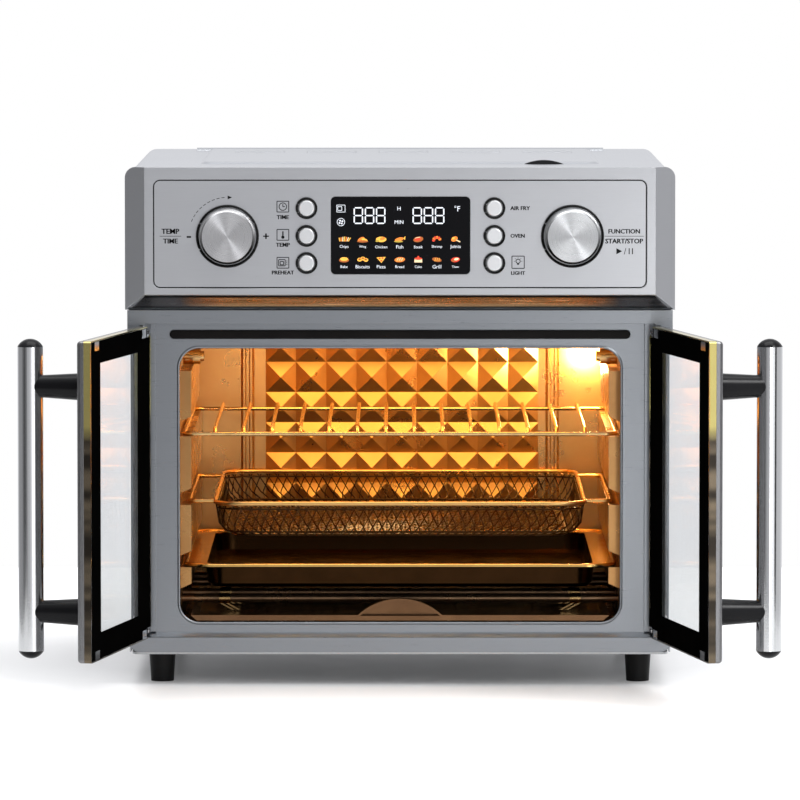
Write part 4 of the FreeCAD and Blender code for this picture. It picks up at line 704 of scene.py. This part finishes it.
def draw_lamp(builder, x, z):
    draw_box(builder, x, z, 4.9, 4.9, ICON_LINE, PANEL_FACE)
    bulb = ring_points(x, z + 0.8, 1.7, 16)
    draw_path(builder, bulb, ICON_LINE, PANEL_FACE, closed=True)
    draw_bar(builder, x - 0.8, z - 1.6, x + 0.8, z - 1.6, 0.8, PANEL_FACE)
    for number in range(5):
        angle = math.pi * number / 4
        near = (x + 2.4 * math.cos(angle), z + 0.8 + 2.4 * math.sin(angle))
        far = (x + 3.5 * math.cos(angle), z + 0.8 + 3.2 * math.sin(angle))
        draw_bar(builder, *near, *far, 0.35, PANEL_FACE)


def draw_turn_arrow(builder, centre_x, centre_z):
    """A dashed arc over the left knob, ending in an arrow head."""
    radius = 31.0
    for number in range(9):
        start = math.radians(158 - number * 7.4)
        end = start - math.radians(4.6)
        draw_bar(builder, centre_x + radius * math.cos(start), centre_z + radius * math.sin(start),
                 centre_x + radius * math.cos(end), centre_z + radius * math.sin(end), 0.5, PANEL_FACE)
    tip_angle = math.radians(86)
    tip = (centre_x + radius * math.cos(tip_angle), centre_z + radius * math.sin(tip_angle))
    draw_shape(builder, [(tip[0] + 1.6, tip[1]), (tip[0] - 2.0, tip[1] + 1.5), (tip[0] - 2.0, tip[1] - 1.5)],
               PANEL_FACE)


def panel_edge():
    """The rounded outline of the recessed panel, in millimetres."""
    half, low, high, corner = 196.4, 320.9, 406.5, 5.0
    points = []
    for x, z, start in ((half - corner, high - corner, 0), (corner - half, high - corner, 90),
                        (corner - half, low + corner, 180), (half - corner, low + corner, 270)):
        for step in range(5):
            angle = math.radians(start + step * 22.5)
            points.append((x + corner * math.cos(angle), z + corner * math.sin(angle)))
    return points


def make_panel_print_and_painted_shadow():
    builder = bmesh.new()
    rows = [axis_of(node)[1] / MM for node in ("time_button", "temp_button", "preheat_button")]
    knob_z = axis_of("left_knob")[1] / MM
    left_x, right_x = -183.1, 178.8
    for words, x, z, width in (
        ("TEMP", left_x, knob_z + 3.9, 14.0), ("TIME", left_x, knob_z - 3.9, 11.6),
        ("FUNCTION", right_x, knob_z + 3.9, 25.0), ("START/STOP", right_x, knob_z - 3.9, 30.0),
        ("TIME", ICON_X, rows[0] - 7.2, 9.6), ("TEMP", ICON_X, rows[1] - 7.2, 11.0),
        ("PREHEAT", ICON_X, rows[2] - 7.6, 17.5), ("AIR FRY", 95.8, rows[0], 15.6),
        ("OVEN", 93.8, rows[1], 11.2), ("LIGHT", 94.2, rows[2] - 8.0, 11.0),
        ("-", -168.4, knob_z - 0.6, 3.2), ("+", -106.9, knob_z, 4.4),
    ):
        for shift in (-0.16, 0.16):     # printed twice, a hair apart, for a bold stroke
            write_words(builder, words, x + shift, z, width, PANEL_FACE, weight=0.012)
    draw_bar(builder, left_x - 8.6, knob_z, left_x + 8.6, knob_z, 0.4, PANEL_FACE)
    draw_bar(builder, right_x - 15.6, knob_z, right_x + 15.6, knob_z, 0.4, PANEL_FACE)
    play_z = knob_z - 12.0
    play_mark = [(right_x - 6.2, play_z + 2.4), (right_x - 6.2, play_z - 2.4), (right_x - 1.6, play_z)]
    draw_shape(builder, play_mark, PANEL_FACE)
    draw_bar(builder, right_x, play_z - 2.6, right_x + 1.4, play_z + 2.6, 0.5, PANEL_FACE)
    for x in (right_x + 4.0, right_x + 6.6):
        draw_bar(builder, x, play_z - 2.4, x, play_z + 2.4, 0.8, PANEL_FACE)
    draw_clock(builder, ICON_X, rows[0] + 1.2)
    draw_thermometer(builder, ICON_X, rows[1] + 0.8)
    draw_small_oven(builder, ICON_X, rows[2] + 0.2)
    draw_lamp(builder, 94.2, rows[2] + 0.6)
    draw_turn_arrow(builder, axis_of("left_knob")[0] / MM, knob_z)
    # painted shadow: a black line along the edge of the panel's recess, where shade falls
    draw_path(builder, panel_edge(), 0.9, PANEL_FACE, closed=True)
    close_outline_faces(builder)
    mesh = mesh_from(builder, "panel_print_and_shadow_line")
    new_piece("panel_print_and_shadow_line", mesh, [BLACK_PRINT], "oven_body")


# ------------------------------------------------------------------ lit display
DIGIT_WIDTH = 6.6
DIGIT_HEIGHT = 12.4
DIGIT_STROKE = 1.0
DIGIT_PITCH = 8.9
FIGURE_Z = 378.4
UPPER_SIGN_Z = 384.0
LOWER_SIGN_Z = 373.2


def draw_digit(builder, x, z):
    """A lit figure eight made of seven strokes."""
    half_w, half_h, gap = DIGIT_WIDTH / 2, DIGIT_HEIGHT / 2, 0.35
    tip = DIGIT_STROKE / 2

    def stroke(x0, z0, x1, z1):
        run = Vector((x1 - x0, z1 - z0)).normalized()
        side = Vector((-run.y, run.x)) * tip
        start, end = Vector((x0, z0)) + run * gap, Vector((x1, z1)) - run * gap
        corners = [start, start + run * tip - side, end - run * tip - side, end,
                   end - run * tip + side, start + run * tip + side]
        draw_shape(builder, [(p.x, p.y) for p in corners], LENS_FACE)

    for level in (-half_h, 0.0, half_h):
        stroke(x - half_w, z + level, x + half_w, z + level)
    for side_x in (x - half_w, x + half_w):
        stroke(side_x, z - half_h, side_x, z)
        stroke(side_x, z, side_x, z + half_h)


def make_display_figures():
    builder = bmesh.new()
    for first in (-33.2, 13.8):
        for number in range(3):
            draw_digit(builder, first + number * DIGIT_PITCH, FIGURE_Z)
    for words, x, z, width in (("H", -0.8, UPPER_SIGN_Z, 2.6), ("MIN", -0.8, LOWER_SIGN_Z, 7.0),
                               ("°F", 45.6, UPPER_SIGN_Z, 4.6)):
        write_words(builder, words, x, z, width, LENS_FACE)
    draw_box(builder, -47.1, UPPER_SIGN_Z, 3.3, 2.8, 0.4, LENS_FACE)
    draw_box(builder, -48.0, UPPER_SIGN_Z, 1.6, 1.5, 0.4, LENS_FACE)
    draw_path(builder, ring_points(-47.1, LOWER_SIGN_Z, 3.0, 18), 0.4, LENS_FACE, closed=True)
    for number in range(4):
        angle = math.pi / 2 * number + 0.5
        blade_x, blade_z = -47.1 + 1.3 * math.cos(angle), LOWER_SIGN_Z + 1.3 * math.sin(angle)
        draw_shape(builder, ring_points(blade_x, blade_z, 0.75, 8), LENS_FACE)
    captions = (
        ("Chips", "Wing", "Chicken", "Fish", "Steak", "Shrimp", "Joints"),
        ("Bake", "Biscuits", "Pizza", "Bread", "Cake", "Grill", "Thaw"),
    )
    for words_row, z in zip(captions, CAPTION_ROWS):
        for words, x in zip(words_row, FOOD_X):
            write_words(builder, words, x, z, 1.4 * len(words), LENS_FACE)
    close_outline_faces(builder)
    mesh = mesh_from(builder, "display_figures")
    new_piece("display_figures", mesh, [WHITE_LIGHT], "oven_body")


FOOD_X = [-44.6 + 14.8 * column for column in range(7)]
FOOD_ROWS = (359.4, 343.2)
CAPTION_ROWS = (353.4, 337.6)
FOOD_LAYER = 0.02 * MM      # each further layer of a picture stands this much prouder


def make_food_pictures():
    """Fourteen small coloured dishes on the display."""
    builder = bmesh.new()

    def blob(x, z, wide, high, colour, lean=0.0, layer=0):
        cosine, sine = math.cos(lean), math.sin(lean)
        points = []
        for px, pz in ring_points(0.0, 0.0, 1.0, 14):
            across, upward = wide * px, high * pz
            points.append((x + across * cosine - upward * sine, z + across * sine + upward * cosine))
        draw_shape(builder, points, LENS_FACE - layer * FOOD_LAYER, FOOD_ORDER.index(colour))

    def stick(x0, z0, x1, z1, width, colour, layer=1):
        draw_bar(builder, x0, z0, x1, z1, width, LENS_FACE - layer * FOOD_LAYER, FOOD_ORDER.index(colour))

    top, low = FOOD_ROWS
    x = FOOD_X[0]
    for step in range(-3, 4):
        stick(x + step * 1.1, top - 1.6, x + step * 1.5 + 0.6, top + 2.2 - 0.3 * abs(step), 0.8,
              ("gold", "orange", "cream")[step % 3])
    x = FOOD_X[1]
    blob(x - 1.2, top, 3.0, 1.5, "orange", 0.5)
    blob(x + 1.6, top - 0.6, 2.6, 1.3, "gold", -0.4, 1)
    blob(x, top - 1.6, 4.4, 0.9, "brown", 0.0, 2)
    x = FOOD_X[2]
    blob(x, top, 4.2, 2.2, "gold")
    blob(x + 1.0, top + 0.6, 2.2, 1.2, "orange", 0.3, 1)
    blob(x - 3.0, top - 1.2, 1.6, 0.8, "green", 0.2, 2)
    x = FOOD_X[3]
    blob(x - 0.4, top, 3.6, 1.5, "orange", 0.25)
    draw_shape(builder, [(x + 2.6, top + 0.8), (x + 4.6, top + 2.6), (x + 4.2, top - 0.4)], LENS_FACE,
               FOOD_ORDER.index("gold"))
    blob(x - 1.0, top - 1.7, 3.6, 0.7, "green", 0.0, 1)
    x = FOOD_X[4]
    blob(x, top, 4.0, 2.2, "brown", 0.2)
    blob(x - 0.4, top + 0.2, 2.6, 1.2, "red", 0.2, 1)
    stick(x - 2.6, top + 1.0, x + 1.4, top + 1.8, 0.5, "cream", 2)
    x = FOOD_X[5]
    for number in range(6):
        angle = 0.4 + number * 0.55
        blob(x + 2.6 * math.cos(angle), top - 0.8 + 2.4 * math.sin(angle), 1.2, 1.0,
             ("orange", "red")[number % 2], angle, number % 2)
    x = FOOD_X[6]
    blob(x - 0.8, top + 0.3, 2.8, 1.9, "orange", 0.5)
    stick(x + 0.8, top - 0.6, x + 3.8, top - 2.0, 0.9, "cream")
    blob(x - 1.6, top + 0.9, 1.3, 0.8, "gold", 0.5, 2)
    x = FOOD_X[0]
    blob(x, low - 0.4, 4.0, 1.8, "brown")
    blob(x, low + 0.5, 3.2, 1.5, "gold", 0.0, 1)
    x = FOOD_X[1]
    for step, lift in ((-2.4, 0.0), (0.2, 0.9), (2.6, -0.2)):
        blob(x + step, low + lift, 1.9, 1.5, "gold")
        blob(x + step, low + lift + 0.3, 1.1, 0.8, "brown", 0.0, 1)
    x = FOOD_X[2]
    draw_shape(builder, [(x - 3.8, low + 1.8), (x + 3.6, low + 2.2), (x + 0.2, low - 2.6)], LENS_FACE,
               FOOD_ORDER.index("gold"))
    for step, lift in ((-1.2, 0.9), (1.1, 1.2), (0.1, -0.8)):
        blob(x + step, low + lift, 0.75, 0.7, "red", 0.0, 1)
    x = FOOD_X[3]
    blob(x, low, 4.2, 2.0, "orange", 0.1)
    for step in (-1.8, 0.0, 1.8):
        stick(x + step - 0.5, low - 0.9, x + step + 0.6, low + 1.4, 0.5, "cream")
    x = FOOD_X[4]
    slab = [(x - 3.2, low - 2.2), (x + 3.2, low - 2.2), (x + 3.0, low + 0.6), (x - 3.0, low + 0.6)]
    draw_shape(builder, slab, LENS_FACE, FOOD_ORDER.index("cream"))
    blob(x, low + 0.8, 3.1, 1.0, "red", 0.0, 1)
    blob(x, low + 2.2, 0.8, 0.8, "red", 0.0, 2)
    x = FOOD_X[5]
    blob(x, low, 3.8, 1.7, "brown", -0.2)
    for step in (-1.6, 0.0, 1.6):
        stick(x + step, low - 1.3, x + step + 0.5, low + 1.3, 0.4, "gold")
    x = FOOD_X[6]
    blob(x, low, 3.6, 2.0, "red", 0.15)
    blob(x + 0.8, low + 0.4, 2.0, 1.0, "cream", 0.2, 1)
    blob(x - 1.8, low - 0.9, 1.3, 0.8, "brown", 0.0, 2)
    close_outline_faces(builder)
    new_piece("display_pictures", mesh_from(builder, "display_pictures"), list(FOOD_COLOURS.values()),
              "oven_body")


make_panel_print_and_painted_shadow()
make_display_figures()
make_food_pictures()


# ------------------------------------------------------------------ printed borders of the door panes
DOOR_OPEN = math.radians(101.3)
BORDER_BACK = -4.66       # millimetres from the hinge plane, on the cavity side of the inner pane
BORDER_FRONT = -4.52
BORDER_ACROSS = (4.2, 12.6, 45.0, 170.0, 199.0)      # from the hinge to the free edge
BORDER_UP = (40.9, 48.6, 61.0, 271.0, 280.6, 288.3)
CLEAR_COLUMN, CLEAR_ROW = 2, 2
BORDER_PRINT = handled("border_print", (0.001, 0.001, 0.001), (0.002, 0.002, 0.002), 0.16, 0.04, 0.0, 20.0,
                       skin=0.0, specular=0.0)


def side_name(side):
    return "left" if side < 0 else "right"


def door_place(side, across, outward, height):
    """A point on an open door: across from its hinge axis, outward from the hinge plane, both in mm."""
    joint = next(j for j in frame["joints"] if j["name"] == side_name(side) + "_door_hinge")
    hinge = Vector(joint["pos_m"])
    along = Vector((side * -math.cos(DOOR_OPEN), -math.sin(DOOR_OPEN), 0.0))
    away = Vector((side * math.sin(DOOR_OPEN), -math.cos(DOOR_OPEN), 0.0))
    place = Vector((hinge.x, hinge.y, height * MM))
    return place + along * across * MM + away * outward * MM


def make_pane_border(side):
    """The black printed band round a door's clear window, left off at the two corners by the hinge."""
    builder = bmesh.new()
    columns, rows = len(BORDER_ACROSS) - 1, len(BORDER_UP) - 1
    gaps = {(0, 0), (0, rows - 1), (CLEAR_COLUMN, CLEAR_ROW)}
    cells = [(column, row) for column in range(columns) for row in range(rows) if (column, row) not in gaps]
    made = {}

    def corner(spot, outward):
        """A grid corner on one face of the band, made once and shared."""
        if (spot, outward) not in made:
            column, row = spot
            place = door_place(side, BORDER_ACROSS[column], outward, BORDER_UP[row])
            made[spot, outward] = builder.verts.new(place)
        return made[spot, outward]

    for column, row in cells:
        loop = [(column, row), (column + 1, row), (column + 1, row + 1), (column, row + 1)]
        for outward in (BORDER_BACK, BORDER_FRONT):
            builder.faces.new([corner(spot, outward) for spot in loop])
        beyond = ((column, row - 1), (column + 1, row), (column, row + 1), (column - 1, row))
        for first, second, neighbour in zip(loop, loop[1:] + loop[:1], beyond):
            if neighbour not in cells:
                builder.faces.new((corner(first, BORDER_BACK), corner(second, BORDER_BACK),
                                   corner(second, BORDER_FRONT), corner(first, BORDER_FRONT)))
    close_outline_faces(builder)
    name = side_name(side) + "_pane_border"
    new_piece(name, mesh_from(builder, name), [BORDER_PRINT], side_name(side) + "_door")


make_pane_border(-1)
make_pane_border(1)


# ------------------------------------------------------------------ basket
# height above which the basket's rim gets its painted highlight
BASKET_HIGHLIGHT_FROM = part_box("basket")[1].z - 4.2 * MM
# the basket wire's near-black copper tone is painted shade and warm lamp light on bright wire
BASKET_WIRE = rim_painted_highlight("basket_wire", (0.040, 0.022, 0.010), (0.62, 0.38, 0.14), BASKET_HIGHLIGHT_FROM, 0.3)
BASKET_HALF = 150.0      # half the basket's width over its rim, millimetres
MESH_CELL = 7.6          # width of a mesh cell, millimetres
MESH_RISE = 14.6         # its height
MESH_WIRE = 0.55         # radius of a strand
RIM_WIRE = 1.8
RAIL_WIRE = 1.7
RAIL_BEND = 6.0          # radius of a side wire's bends
RAIL_FRONT, RAIL_BACK = 40.0, 287.0      # a side wire's ends, behind the bezel's front plane
CORNER_STEPS = 10
HOOP_STEPS = 160


def strand(builder, points, radius, sides=6, closed=False):
    """A round wire through points in metres."""
    rings = []
    count = len(points)
    for number, point in enumerate(points):
        before = points[number - 1] if number or closed else point
        after = points[(number + 1) % count] if number < count - 1 or closed else point
        heading = (after - before).normalized()
        up = Vector((0, 0, 1)) if abs(heading.z) < 0.9 else Vector((0, 1, 0))
        across = heading.cross(up).normalized()
        rise = across.cross(heading)
        rings.append([
            builder.verts.new(point + (across * math.cos(a) + rise * math.sin(a)) * radius)
            for a in (2 * math.pi * k / sides for k in range(sides))
        ])
    pairs = list(zip(rings, rings[1:])) + ([(rings[-1], rings[0])] if closed else [])
    for near, far in pairs:
        for k in range(sides):
            builder.faces.new((near[k], near[(k + 1) % sides], far[(k + 1) % sides], far[k]))
    if not closed:
        builder.faces.new(rings[0])
        builder.faces.new(list(reversed(rings[-1])))


class RoundedOutline:
    """A rounded rectangle that can be walked by distance, in millimetres."""

    def __init__(self, half_x, front, back, corner):
        self.half_x, self.front, self.back, self.corner = half_x, front, back, corner
        self.flat_x = 2 * (half_x - corner)
        self.flat_y = back - front - 2 * corner
        self.arc = math.pi * corner / 2
        self.length = 2 * self.flat_x + 2 * self.flat_y + 4 * self.arc

    def at(self, share):
        """The point at a share of the way round, from the front left corner's end."""
        walk = (share % 1.0) * self.length
        corner, half_x = self.corner, self.half_x
        starts = (
            (self.flat_x, Vector((-half_x + corner, self.front)), Vector((1, 0))),
            (self.flat_y, Vector((half_x, self.front + corner)), Vector((0, 1))),
            (self.flat_x, Vector((half_x - corner, self.back)), Vector((-1, 0))),
            (self.flat_y, Vector((-half_x, self.back - corner)), Vector((0, -1))),
        )
        for flat, start, heading in starts:
            if walk <= flat:
                return start + heading * walk
            walk -= flat
            if walk <= self.arc:
                turn = walk / corner
                inward = Vector((-heading.y, heading.x))
                centre = start + heading * flat + inward * corner
                return centre - inward * corner * math.cos(turn) + heading * corner * math.sin(turn)
            walk -= self.arc
        return starts[0][1]

    def crosses(self, origin, heading):
        """Where a straight line through the outline enters and leaves it."""
        steps = 240
        inside = []
        reach = self.half_x + self.back
        for number in range(-steps, steps + 1):
            point = origin + heading * (reach * number / steps)
            if self.holds(point):
                inside.append(point)
        return (inside[0], inside[-1]) if len(inside) > 1 else None

    def holds(self, point):
        dx = abs(point.x) - (self.half_x - self.corner)
        middle = (self.front + self.back) / 2
        dy = abs(point.y - middle) - ((self.back - self.front) / 2 - self.corner)
        return max(dx, 0) ** 2 + max(dy, 0) ** 2 <= self.corner ** 2


def make_basket():
    low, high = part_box("basket")
    top = high.z / MM - RIM_WIRE
    bottom = low.z / MM
    front = (low.y - FRONT) / MM
    back = (high.y - FRONT) / MM
    half = BASKET_HALF
    outlines = [
        (bottom + climb, RoundedOutline(half - inset, front + inset, back - inset, 25.0 - inset * 0.5))
        for climb, inset in ((0.8, 15.5), (3.8, 8.8), (10.0, 4.0))
    ]
    outlines.append((top, RoundedOutline(half - 1.4, front + 1.4, back - 1.4, 24.4)))
    heights = [level for level, _ in outlines]

    def wall(share, height):
        """A point on the basket's wall, round by share and up by height."""
        for (z0, lower), (z1, upper) in zip(outlines, outlines[1:]):
            if height <= z1 or upper is outlines[-1][1]:
                mix = min(max((height - z0) / (z1 - z0), 0.0), 1.0)
                spot = lower.at(share).lerp(upper.at(share), mix)
                return Vector((spot.x * MM, FRONT + spot.y * MM, height * MM))
        return None

    builder = bmesh.new()
    length = outlines[-1][1].length
    cells = round(length / MESH_CELL)
    lean = (top - bottom) / MESH_RISE / cells
    levels = [heights[0], (heights[0] + heights[1]) / 2, heights[1],
              heights[2], (heights[2] + top) / 2, top]
    for number in range(cells):
        for way in (-1, 1):
            path = []
            for height in levels:
                climbed = (height - levels[0]) / (top - levels[0])
                path.append(wall(number / cells + way * lean * climbed, height))
            strand(builder, path, MESH_WIRE * MM, 5)
    floor = outlines[0][1]
    slope = Vector((MESH_CELL, MESH_RISE)).normalized()
    middle = Vector((0.0, (front + back) / 2))
    reach = int((half + (back - front) * slope.x / slope.y) / MESH_CELL)
    for number in range(-reach, reach + 1):
        origin = middle + Vector((number * MESH_CELL, 0.0))
        for way in (-1, 1):
            ends = floor.crosses(origin, Vector((way * slope.x, slope.y)))
            if ends:
                strand(builder, [Vector((p.x * MM, FRONT + p.y * MM, heights[0] * MM)) for p in ends],
                       MESH_WIRE * MM, 5)
    for height, outline, radius in (
        (top, RoundedOutline(half - 1.0, front + 1.0, back - 1.0, 23.0), RIM_WIRE),
        (top - 4.4, RoundedOutline(half - 2.2, front + 2.2, back - 2.2, 23.8), 0.8),
        (heights[1], outlines[1][1], 0.9),
        (heights[0], floor, 0.9),
    ):
        loop = []
        for number in range(HOOP_STEPS):
            spot = outline.at(number / HOOP_STEPS)
            loop.append(Vector((spot.x * MM, FRONT + spot.y * MM, height * MM)))
        strand(builder, loop, radius * MM, 8, closed=True)
    rail = high.x / MM - RAIL_WIRE
    for side in (-1, 1):
        path = [Vector((side * (half - 1.0), RAIL_FRONT))]
        for number in range(CORNER_STEPS + 1):
            turn = math.pi / 2 * number / CORNER_STEPS
            outward = rail - RAIL_BEND + RAIL_BEND * math.sin(turn)
            path.append(Vector((side * outward, RAIL_FRONT + RAIL_BEND - RAIL_BEND * math.cos(turn))))
        for number in range(CORNER_STEPS + 1):
            turn = math.pi / 2 * number / CORNER_STEPS
            outward = rail - RAIL_BEND + RAIL_BEND * math.cos(turn)
            path.append(Vector((side * outward, RAIL_BACK - RAIL_BEND + RAIL_BEND * math.sin(turn))))
        path.append(Vector((side * (half - 1.0), RAIL_BACK)))
        run = [Vector((p.x * MM, FRONT + p.y * MM, top * MM)) for p in path]
        strand(builder, run, RAIL_WIRE * MM, 8)
    close_outline_faces(builder)
    mesh = mesh_from(builder, "wire_basket")
    smooth(mesh, math.radians(60))
    piece = new_piece("wire_basket", mesh, [BASKET_WIRE], "basket_body")
    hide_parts("basket")


make_basket()


def make_collar_shadows():
    """Black rings of painted shadow round the collars of the knobs and buttons."""
    builder = bmesh.new()
    for names, outer, proud in (
        (("left_knob", "right_knob"), 25.0, 2.6),
        (("time_button", "temp_button", "preheat_button", "air_fry_button", "oven_button", "light_button"),
         8.6, 2.4),
    ):
        depth = PANEL_FACE - (proud - 0.45) * MM
        for node in names:
            circle = ring_points(*axis_of(node), (outer - 0.86) * MM, 64)
            strand(builder, [Vector((x, depth, z)) for x, z in circle], 1.0 * MM, 8, closed=True)
    close_outline_faces(builder)
    mesh = mesh_from(builder, "collar_shadow_rings")
    smooth(mesh)
    shadow_ring_finish = handled("collar_shadow_black", (0.006, 0.006, 0.006), (0.012, 0.012, 0.012), 0.3, 0.06, 0.0, 60.0,
                     skin=0.04, specular=0.15)
    new_piece("collar_shadow_rings", mesh, [shadow_ring_finish], "oven_body")


make_collar_shadows()


# ------------------------------------------------------------------ floor, world, lights
FLOOR_REACH = 0.9
SHADOW_INNER, SHADOW_OUTER = 0.16, 0.52      # metres over which the painted shadow under the oven fades into bright ground, front to back


def make_floor():
    mesh = bpy.data.meshes.new("floor")
    reach = FLOOR_REACH
    corners = [(-reach, -reach, 0), (reach, -reach, 0), (reach, reach, 0), (-reach, reach, 0)]
    mesh.from_pydata(corners, [], [(0, 1, 2, 3)])
    floor = bpy.data.objects.new("floor", mesh)
    scene.collection.objects.link(floor)
    mesh.materials.append(bright_floor("pale_floor"))


def bright_floor(name):
    """Pale ground that glows softly away from the oven and less near it, a painted shadow that joins the cast
    contact shadow so that only a soft shadow shows.

    Its glow is left out of every ray but those of direct sight, so that it hardly lights the oven.
    """
    material, tree, shader = new_material(name)
    fleck = add(tree, "ShaderNodeTexNoise")
    set_inputs(fleck, Scale=60.0, Detail=2.0)
    join(tree, spread(tree, fleck.outputs["Fac"], 0.3, 0.7, 0.34, 0.38), shader.inputs["Roughness"])
    place = add(tree, "ShaderNodeVectorMath", operation="SUBTRACT")
    join(tree, add(tree, "ShaderNodeTexCoord").outputs["Object"], place.inputs[0])
    place.inputs[1].default_value = (0.0, FRONT + 0.20, 0.0)
    squeezed = add(tree, "ShaderNodeVectorMath", operation="MULTIPLY")
    join(tree, place.outputs["Vector"], squeezed.inputs[0])
    squeezed.inputs[1].default_value = (0.62, 1.0, 0.0)
    reach = add(tree, "ShaderNodeVectorMath", operation="LENGTH")
    join(tree, squeezed.outputs["Vector"], reach.inputs[0])
    # painted shadow: the floor's glow fades towards a spot under the oven
    outside_painted_shadow = spread(tree, reach.outputs["Value"], SHADOW_INNER, SHADOW_OUTER)
    seen = add(tree, "ShaderNodeLightPath").outputs["Is Camera Ray"]
    share = maths(tree, "MULTIPLY", outside_painted_shadow, seen)
    glow = blend_colour(tree, share, (0.02, 0.02, 0.02), (0.75, 0.75, 0.75))
    join(tree, glow, shader.inputs["Emission Color"])
    set_inputs(shader, Base_Color=(0.80, 0.80, 0.80, 1.0), Emission_Strength=1.0, Specular_IOR_Level=0.5)
    return material


# Brightness of the surroundings round the compass: degrees from straight in front, positive to the right.
SURROUNDINGS = (
    (-180, 0.96), (-150, 0.90), (-120, 0.34), (-80, 0.30), (-62, 0.12), (-46, 0.06), (-30, 0.34),
    (-8, 0.52), (8, 0.68), (14, 1.20), (42, 1.20), (47, 0.02), (58, 0.02), (66, 0.60), (110, 0.66),
    (150, 0.90), (180, 0.96),
)


def light_world():
    """Studio surroundings with darker and lighter bands; plain white where they are seen directly."""
    world = bpy.data.worlds.new("studio")
    world.use_nodes = True
    scene.world = world
    tree = world.node_tree
    backdrop = tree.nodes["Background"]
    place = add(tree, "ShaderNodeSeparateXYZ")
    join(tree, add(tree, "ShaderNodeTexCoord").outputs["Generated"], place.inputs["Vector"])
    ahead = maths(tree, "MULTIPLY", place.outputs["Y"], -1.0)
    turn = maths(tree, "ARCTAN2", place.outputs["X"], ahead)
    share = spread(tree, turn, -math.pi, math.pi)
    bands = add(tree, "ShaderNodeValToRGB")
    join(tree, share, bands.inputs["Fac"])
    ramp = bands.color_ramp
    for degrees, level in SURROUNDINGS:
        place_on_ramp = (degrees + 180) / 360
        if place_on_ramp in (0.0, 1.0):
            stop = ramp.elements[0 if place_on_ramp == 0.0 else -1]
        else:
            stop = ramp.elements.new(place_on_ramp)
        stop.color = (level, level, level * 1.03, 1.0)
    overhead = spread(tree, place.outputs["Z"], 0.45, 0.85)
    shade = blend_colour(tree, overhead, bands.outputs["Color"], (0.85, 0.86, 0.88))
    seen = add(tree, "ShaderNodeLightPath").outputs["Is Camera Ray"]
    join(tree, blend_colour(tree, seen, shade, (1.0, 1.0, 1.0)), backdrop.inputs["Color"])
    set_inputs(backdrop, Strength=1.0)


def area_light(name, place, aim, width, height, power, colour=(1.0, 1.0, 1.0)):
    data = bpy.data.lights.new(name, "AREA")
    data.shape = "RECTANGLE"
    data.size = width
    data.size_y = height
    data.energy = power
    data.color = colour
    light = bpy.data.objects.new(name, data)
    light.location = place
    light.rotation_euler = (Vector(aim) - Vector(place)).to_track_quat("-Z", "Y").to_euler()
    light.visible_camera = False
    scene.collection.objects.link(light)


def lamp_light(name, place, power, radius, colour):
    data = bpy.data.lights.new(name, "POINT")
    data.energy = power
    data.shadow_soft_size = radius
    data.color = colour
    light = bpy.data.objects.new(name, data)
    light.location = place
    light.visible_camera = False
    scene.collection.objects.link(light)


WARM = (1.0, 0.56, 0.17)


def place_lights():
    area_light("key_right", (2.2, -2.0, 3.0), (0.0, 0.0, 0.2), 1.0, 1.6, 75.0)
    area_light("fill_left", (-2.6, -1.8, 1.2), (0.0, 0.0, 0.2), 0.5, 1.8, 3.0)
    area_light("side_soft", (0.50, -1.70, 0.10), (0.25, FRONT, 0.15), 0.28, 0.5, 1.9)
    area_light("overhead", (0.0, -0.2, 2.6), (0.0, 0.0, 0.0), 2.2, 1.6, 34.0)
    bulb_low, bulb_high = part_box("lamp_bulb")
    middle = (bulb_low + bulb_high) / 2
    lamp_light("oven_lamp", (middle.x - 0.030, middle.y, middle.z), 0.80, 0.012, (1.0, 0.70, 0.30))
    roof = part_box("cavity_roof")[0].z
    deep = FRONT + 0.190
    area_light("cavity_glow", (0.0, deep, roof - 0.006), (0.0, deep, 0.0), 0.26, 0.22, 0.9, WARM)
    area_light("cavity_wash", (0.0, FRONT + 0.030, roof - 0.010), (0.0, FRONT + 0.345, 0.16), 0.30, 0.02,
               0.5, WARM)


make_floor()
light_world()
place_lights()
scene.view_settings.view_transform = "Standard"
